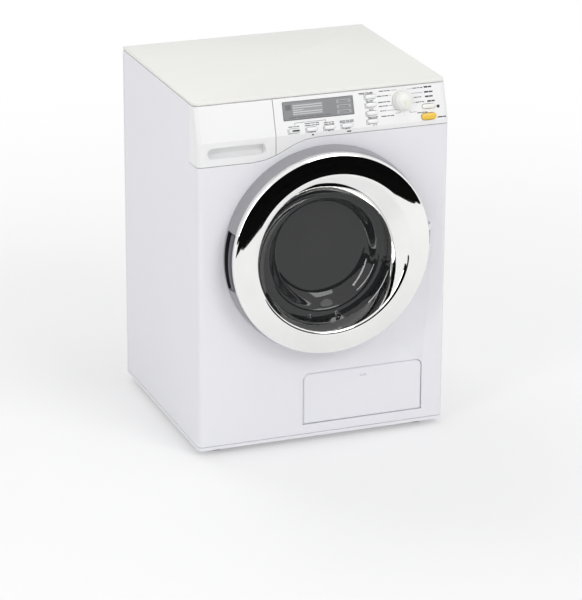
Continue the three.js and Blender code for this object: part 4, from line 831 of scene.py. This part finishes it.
printShape = {
    "thick": 0.06, "sunk": -0.02, "gap": 0.35, "line": 0.26,
    # how a label is shared out among its bars, and the heights of labels
    "shares": {"three": (0.42, 0.3, 0.28), "uneven": (0.6, 0.4), "even": (0.5, 0.5)},
    "heights": {
        "label": 0.62, "note": 0.5, "small": 0.4, "left": 0.72, "right": 0.66,
        "bold": 1.15, "start": 0.85,
    },
    # every second bar of a label stands a little higher and is less tall
    "lift": 0.08, "lower": 0.85,
    # the painted shadow at a key's lower left: how far to the left, how far below, and how long
    "corner": (0.7, 0.5, 2.4),
    # labels above the option keys: offsets from the key's middle and the v of each row
    "optionLabels": [
        (-4.0, 4.2, (5.4,)), (-5.0, 6.0, (6.7, 5.3)), (-4.0, 4.0, (6.0, 4.8)),
        (-5.3, 5.5, (5.9, 5.0)),
    ],
    "optionNotes": [None, (-2.0, 3.0, 0.45), (-1.6, 3.4, 0.35), (-1.8, 2.4, 0.35)],
    # labels beside the setting keys, from the lowest up: left, right; the second row is inset
    "settingLabels": [(32.6, 40.7), (34.2, 37.9), (32.4, 38.4), (27.6, 38.7)],
    "settingRises": (2.85, 2.1), "settingInset": (0.6, 0.4),
    "settingNote": (36.2, 39.6, 0.75),
    # labels beside the knob: left, right, v; leaders go on from the first five on the left
    "knobLeft": [
        (43.0, 51.6, 23.7), (41.3, 50.0, 20.3), (41.6, 51.0, 16.0), (41.8, 48.9, 13.2),
        (42.6, 47.2, 9.9), (43.0, 53.0, 6.1),
    ],
    "leaderGap": 0.4, "leaderEnds": (56.3, 51.9, 51.7, 52.0, 55.0),
    "knobRight": [(68.4, 76.4, 23.5), (69.0, 74.8, 17.0), (69.8, 76.4, 13.5), (70.2, 78.2, 6.0)],
    "knobBold": [(77.0, 83.1, 23.6), (77.0, 83.7, 20.1), (77.3, 83.5, 16.9), (78.7, 84.7, 13.5)],
    "startLabel": (85.3, 92.0, 1.7),
    # thin lines: left, right, v; and u, low, high
    "flatLines": [
        (-21.6, 1.4, 7.9), (53.6, 57.4, 7.4), (64.4, 68.0, 23.3), (67.2, 76.0, 20.1),
        (68.2, 68.8, 17.0), (68.0, 69.4, 13.5), (64.9, 69.8, 6.9),
    ],
    "uprightLines": [(-21.6, 6.3, 7.9), (1.4, 6.7, 7.9), (57.4, 7.4, 8.4), (64.9, 6.9, 8.6)],
    # on the skirt under the panel: left, right, bottom, top
    "skirtMarks": [(-9.7, -8.2, -1.9, -1.0), (16.5, 19.6, -2.1, -1.2)],
    "lamp": {"at": (86.4, 9.3, 0.1), "radius": 1.05, "depth": 0.5, "soft": 0.12},
}


def bars(name, rows, material, slot, low=printShape["sunk"], where=onPanel):
    # thin printed bars: each row is left, right, bottom, top
    z = (low, low + printShape["thick"])
    pieces = [blockPiece("bar", row[:2], row[2:], z) for row in rows]
    piece = settle(joinPieces(pieces, name), where)
    return dress(piece, material, slot, "cabinet")


def words(left, right, v, kind="label", shares="three"):
    # a label as a few bars with gaps, like words seen from too far off to read
    height = printShape["heights"][kind]
    rows = []
    start = left
    for i, share in enumerate(printShape["shares"][shares]):
        lift, tall = (printShape["lift"], printShape["lower"]) if i % 2 else (0, 1)
        end = start + (right - left) * share
        low = v - height / 2 + lift
        rows.append((start, end - printShape["gap"], low, low + height * tall))
        start = end
    return rows


def flatLine(left, right, v):
    return [(left, right, v - printShape["line"] / 2, v + printShape["line"] / 2)]


def uprightLine(u, low, high):
    return [(u - printShape["line"] / 2, u + printShape["line"] / 2, low, high)]


def keyShadowLine(u, v):
    # painted shadow: a thin grey line round the lower left of a small key, where the raised key's
    # shade falls
    width, height = smallKey[:2]
    aside, below, length = printShape["corner"]
    left, low = u - width / 2 - aside, v - height / 2 - below
    return uprightLine(left, low, v + height / 2) + flatLine(left, left + length, low)


def panelPrint():
    lines, labels, bold = [], [], []
    options = zip(keyPlaces["option"], printShape["optionLabels"], printShape["optionNotes"])
    for (u, v), (left, right, rows), note in options:
        # painted shadow at the key's lower left
        lines += keyShadowLine(u, v)
        for row in rows:
            labels += words(u + left, u + right, row)
        if note:
            labels += words(u + note[0], u + note[1], note[2], "note", "uneven")
    rise, secondRise = printShape["settingRises"]
    near, far = printShape["settingInset"]
    for (u, v), (left, right) in zip(keyPlaces["setting"], printShape["settingLabels"]):
        lines += keyShadowLine(u, v)
        labels += words(left, right, v + rise)
        labels += words(left + near, right - far, v + secondRise, "small", "even")
    labels += words(*printShape["settingNote"], "note", "even")
    for row in printShape["knobLeft"]:
        labels += words(*row, "left")
    for (left, right, v), end in zip(printShape["knobLeft"], printShape["leaderEnds"]):
        lines += flatLine(right + printShape["leaderGap"], end, v)
    for row in printShape["knobRight"]:
        labels += words(*row, "right")
    for row in printShape["knobBold"]:
        bold += words(*row, "bold", "even")
    bold += words(*printShape["startLabel"], "start", "uneven")
    for row in printShape["flatLines"]:
        lines += flatLine(*row)
    for row in printShape["uprightLines"]:
        lines += uprightLine(*row)
    # the printed lines go into one piece with the painted shadows at the small keys' lower left
    bars("panelLines", lines, printGrey, "grey_plastic")
    bars("panelLabels", labels, printGrey, "grey_plastic")
    bars("panelBoldLabels", bold, printDark, "black_plastic")
    bars("skirtMarks", printShape["skirtMarks"], printDark, "black_plastic", where=onFront)


def panelLamp():
    lamp = printShape["lamp"]
    clearSelection()
    bpy.ops.mesh.primitive_cylinder_add(
        vertices=32, radius=lamp["radius"] * mm, depth=lamp["depth"] * mm,
        location=[value * mm for value in lamp["at"]])
    dot = settle(bpy.context.object)
    dot.name = "panelLamp"
    softenEdges(dot, lamp["soft"])
    settle(dot, onPanel)
    return dress(dot, printDark, "black_plastic", "cabinet")


keyMark = {"u": (-24.2, -18.9), "v": (1.95, 3.1), "z": (0.85, 0.93), "soft": 0.03}


def optionMark():
    # the dark bar on the first option key, which travels with it
    piece = blockPiece("optionMark", keyMark["u"], keyMark["v"], keyMark["z"])
    softenEdges(piece, keyMark["soft"], 1)
    settle(piece, onPanel)
    return dress(piece, printDark, "black_plastic", "option_key_1_unit")


# what the display shows: finish, how far its back lies below the face, and rows like those of bars
screenRows = {
    "screenPale": (printPale, 0.04, [(-22.3, 0.2, 12.9, 20.9)]),
    "screenRows": (printLight, 0.03, [
        (-22.0, -0.4, 19.5, 20.0), (-22.0, -0.2, 18.0, 18.5), (-22.0, -14.5, 16.4, 16.9),
        (-22.0, -0.6, 14.9, 15.5), (-22.0, -0.6, 13.6, 14.0),
    ]),
    "screenBoxes": (printScreen, 0.04, [
        (10.6, 21.0, 18.6, 21.0), (10.6, 21.0, 14.9, 17.4), (10.6, 21.0, 11.3, 13.8),
    ]),
    "screenBoxLines": (printShade, 0.03, [
        (12.0, 19.6, v, v + 0.45) for v in (19.9, 19.0, 16.2, 15.3, 12.6, 11.7)
    ]),
    "screenShade": (printShade, 0.03, [(-27.4, -23.4, 17.0, 20.7)]),
    "screenStrip": (printShade, 0.03, [
        (-25.6, -20.2, 11.3, 11.9), (-19.4, -12.6, 11.3, 11.9), (-11.8, -7.0, 11.3, 11.9),
        (-6.0, 0.5, 11.3, 11.9), (1.4, 5.6, 11.3, 11.9),
    ]),
}


def screenPrint():
    for name, (material, below, rows) in screenRows.items():
        bars(name, rows, material, "screen", screenShape["proud"] - below)


for key in keys:
    keyCap(*key)
optionMark()
selectorKnob()
displayScreen()
screenPrint()
panelPrint()
panelLamp()
print("panel made")


# shells: merged copies of the frame's own solids with softened edges

def softShell(node, width, segments=2, slot=None):
    slot = slot or slotOf[node]
    piece = copyOfNode(node, titleOf(node))
    softenEdges(piece, width, segments)
    return dress(piece, finishes[slot], slot, bodyOf[node], node)


# the round mouth, cut anew with more sides, and the shell's softening
mouthShape = {"radius": 59.53, "sides": 160, "y": -72, "depth": 6, "soft": 0.2}


def cabinetShell():
    piece = copyOfNode("cabinet_shell", "cabinetShell")
    clearSelection()
    bpy.ops.mesh.primitive_cylinder_add(
        vertices=mouthShape["sides"], radius=mouthShape["radius"] * mm,
        depth=mouthShape["depth"] * mm, location=(0, mouthShape["y"] * mm, place["doorZ"] * mm),
        rotation=(math.pi / 2, 0, 0))
    carve(piece, settle(bpy.context.object))
    softenEdges(piece, mouthShape["soft"])
    return dress(piece, finishes["white_plastic"], "white_plastic", "cabinet", "cabinet_shell")


cabinetShell()
softWidths = {
    "control_fascia": 0.16, "drawer_front": 0.2, "top_plate": 0.25, "service_flap": 0.2,
    "rear_cover": 0.3, "base_plate": 0.3, "battery_cover": 0.25, "drum": 0.2, "drum_lifter_1": 0.5,
    "drum_lifter_2": 0.5, "drum_lifter_3": 0.5, "tub": 0.2, "drawer_tray": 0.25,
    "drawer_housing": 0.2, "door_hinge_arm": 0.15, "door_latch_hook": 0.2, "latch_catch": 0.2,
    "rear_screw_1": 0.12, "rear_screw_2": 0.12, "rear_screw_3": 0.12, "rear_screw_4": 0.12,
    "battery_cover_screw": 0.12,
}
for node, width in softWidths.items():
    softShell(node, width)
softShell("hinge_bracket", 0.15, slot="white_plastic")
print("shells softened")


# turned pieces that repeat or close the door's mouth

sealShape = [
    (61.4, -70.7), (61.4, -69.4), (61.2, -69.2), (54.6, -69.2), (53.4, -68.8), (51.6, -67.0),
    (50.5, -65.6), (50.2, -64.8), (50.2, -60.1), (49.9, -59.8), (48.2, -59.8), (47.7, -60.2),
    (47.65, -61.6), (48.5, -62.4), (48.6, -63.4), (47.9, -64.2), (47.7, -65.4), (47.8, -67.6),
    (48.3, -69.2), (49.4, -70.5), (49.9, -70.7),
]


def doorSeal():
    piece = turnedPiece("doorSeal", sealShape, onDoorAxis, sides=128, closed=True)
    return dress(piece, finishes["rubber"], "rubber", "cabinet", "door_seal")


# radius and height; the stem above the pad goes up to the top of its node
footShape = {
    "pad": [
        (0, 0), (6.6, 0), (7.4, 0.25), (7.8, 0.9), (7.5, 1.3), (7.5, 1.9), (7.8, 2.3), (8, 3),
        (8, 4.35), (7.7, 4.65),
    ],
    "stem": 3.0,
}
footNodes = [f"foot_{i + 1}" for i in range(4)]


def standOf(node):
    # the middle of a node's underside, and its height in mm
    low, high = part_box(node)
    return ((low[0] + high[0]) / 2, (low[1] + high[1]) / 2, low[2]), (high[2] - low[2]) / mm


def rubberFeet():
    # one foot is turned, the others are copies of it with their own mesh
    top = standOf(footNodes[0])[1]
    stem = footShape["stem"]
    rings = footShape["pad"] + [(stem, footShape["pad"][-1][1]), (stem, top), (0, top)]
    first = turnedPiece("foot1", rings, Matrix.Identity(4), sides=48, closed=True)
    pieces = [first]
    for node in footNodes[1:]:
        pick(first)
        bpy.ops.object.duplicate(linked=False)
        pieces.append(bpy.context.object)
    for i, (piece, node) in enumerate(zip(pieces, footNodes)):
        piece.name = f"foot{i + 1}"
        piece.data.name = piece.name
        settle(piece, Matrix.Translation(standOf(node)[0]))
        dress(piece, finishes["rubber"], "rubber", "cabinet", node)


doorSeal()
rubberFeet()
print("seal and feet made")
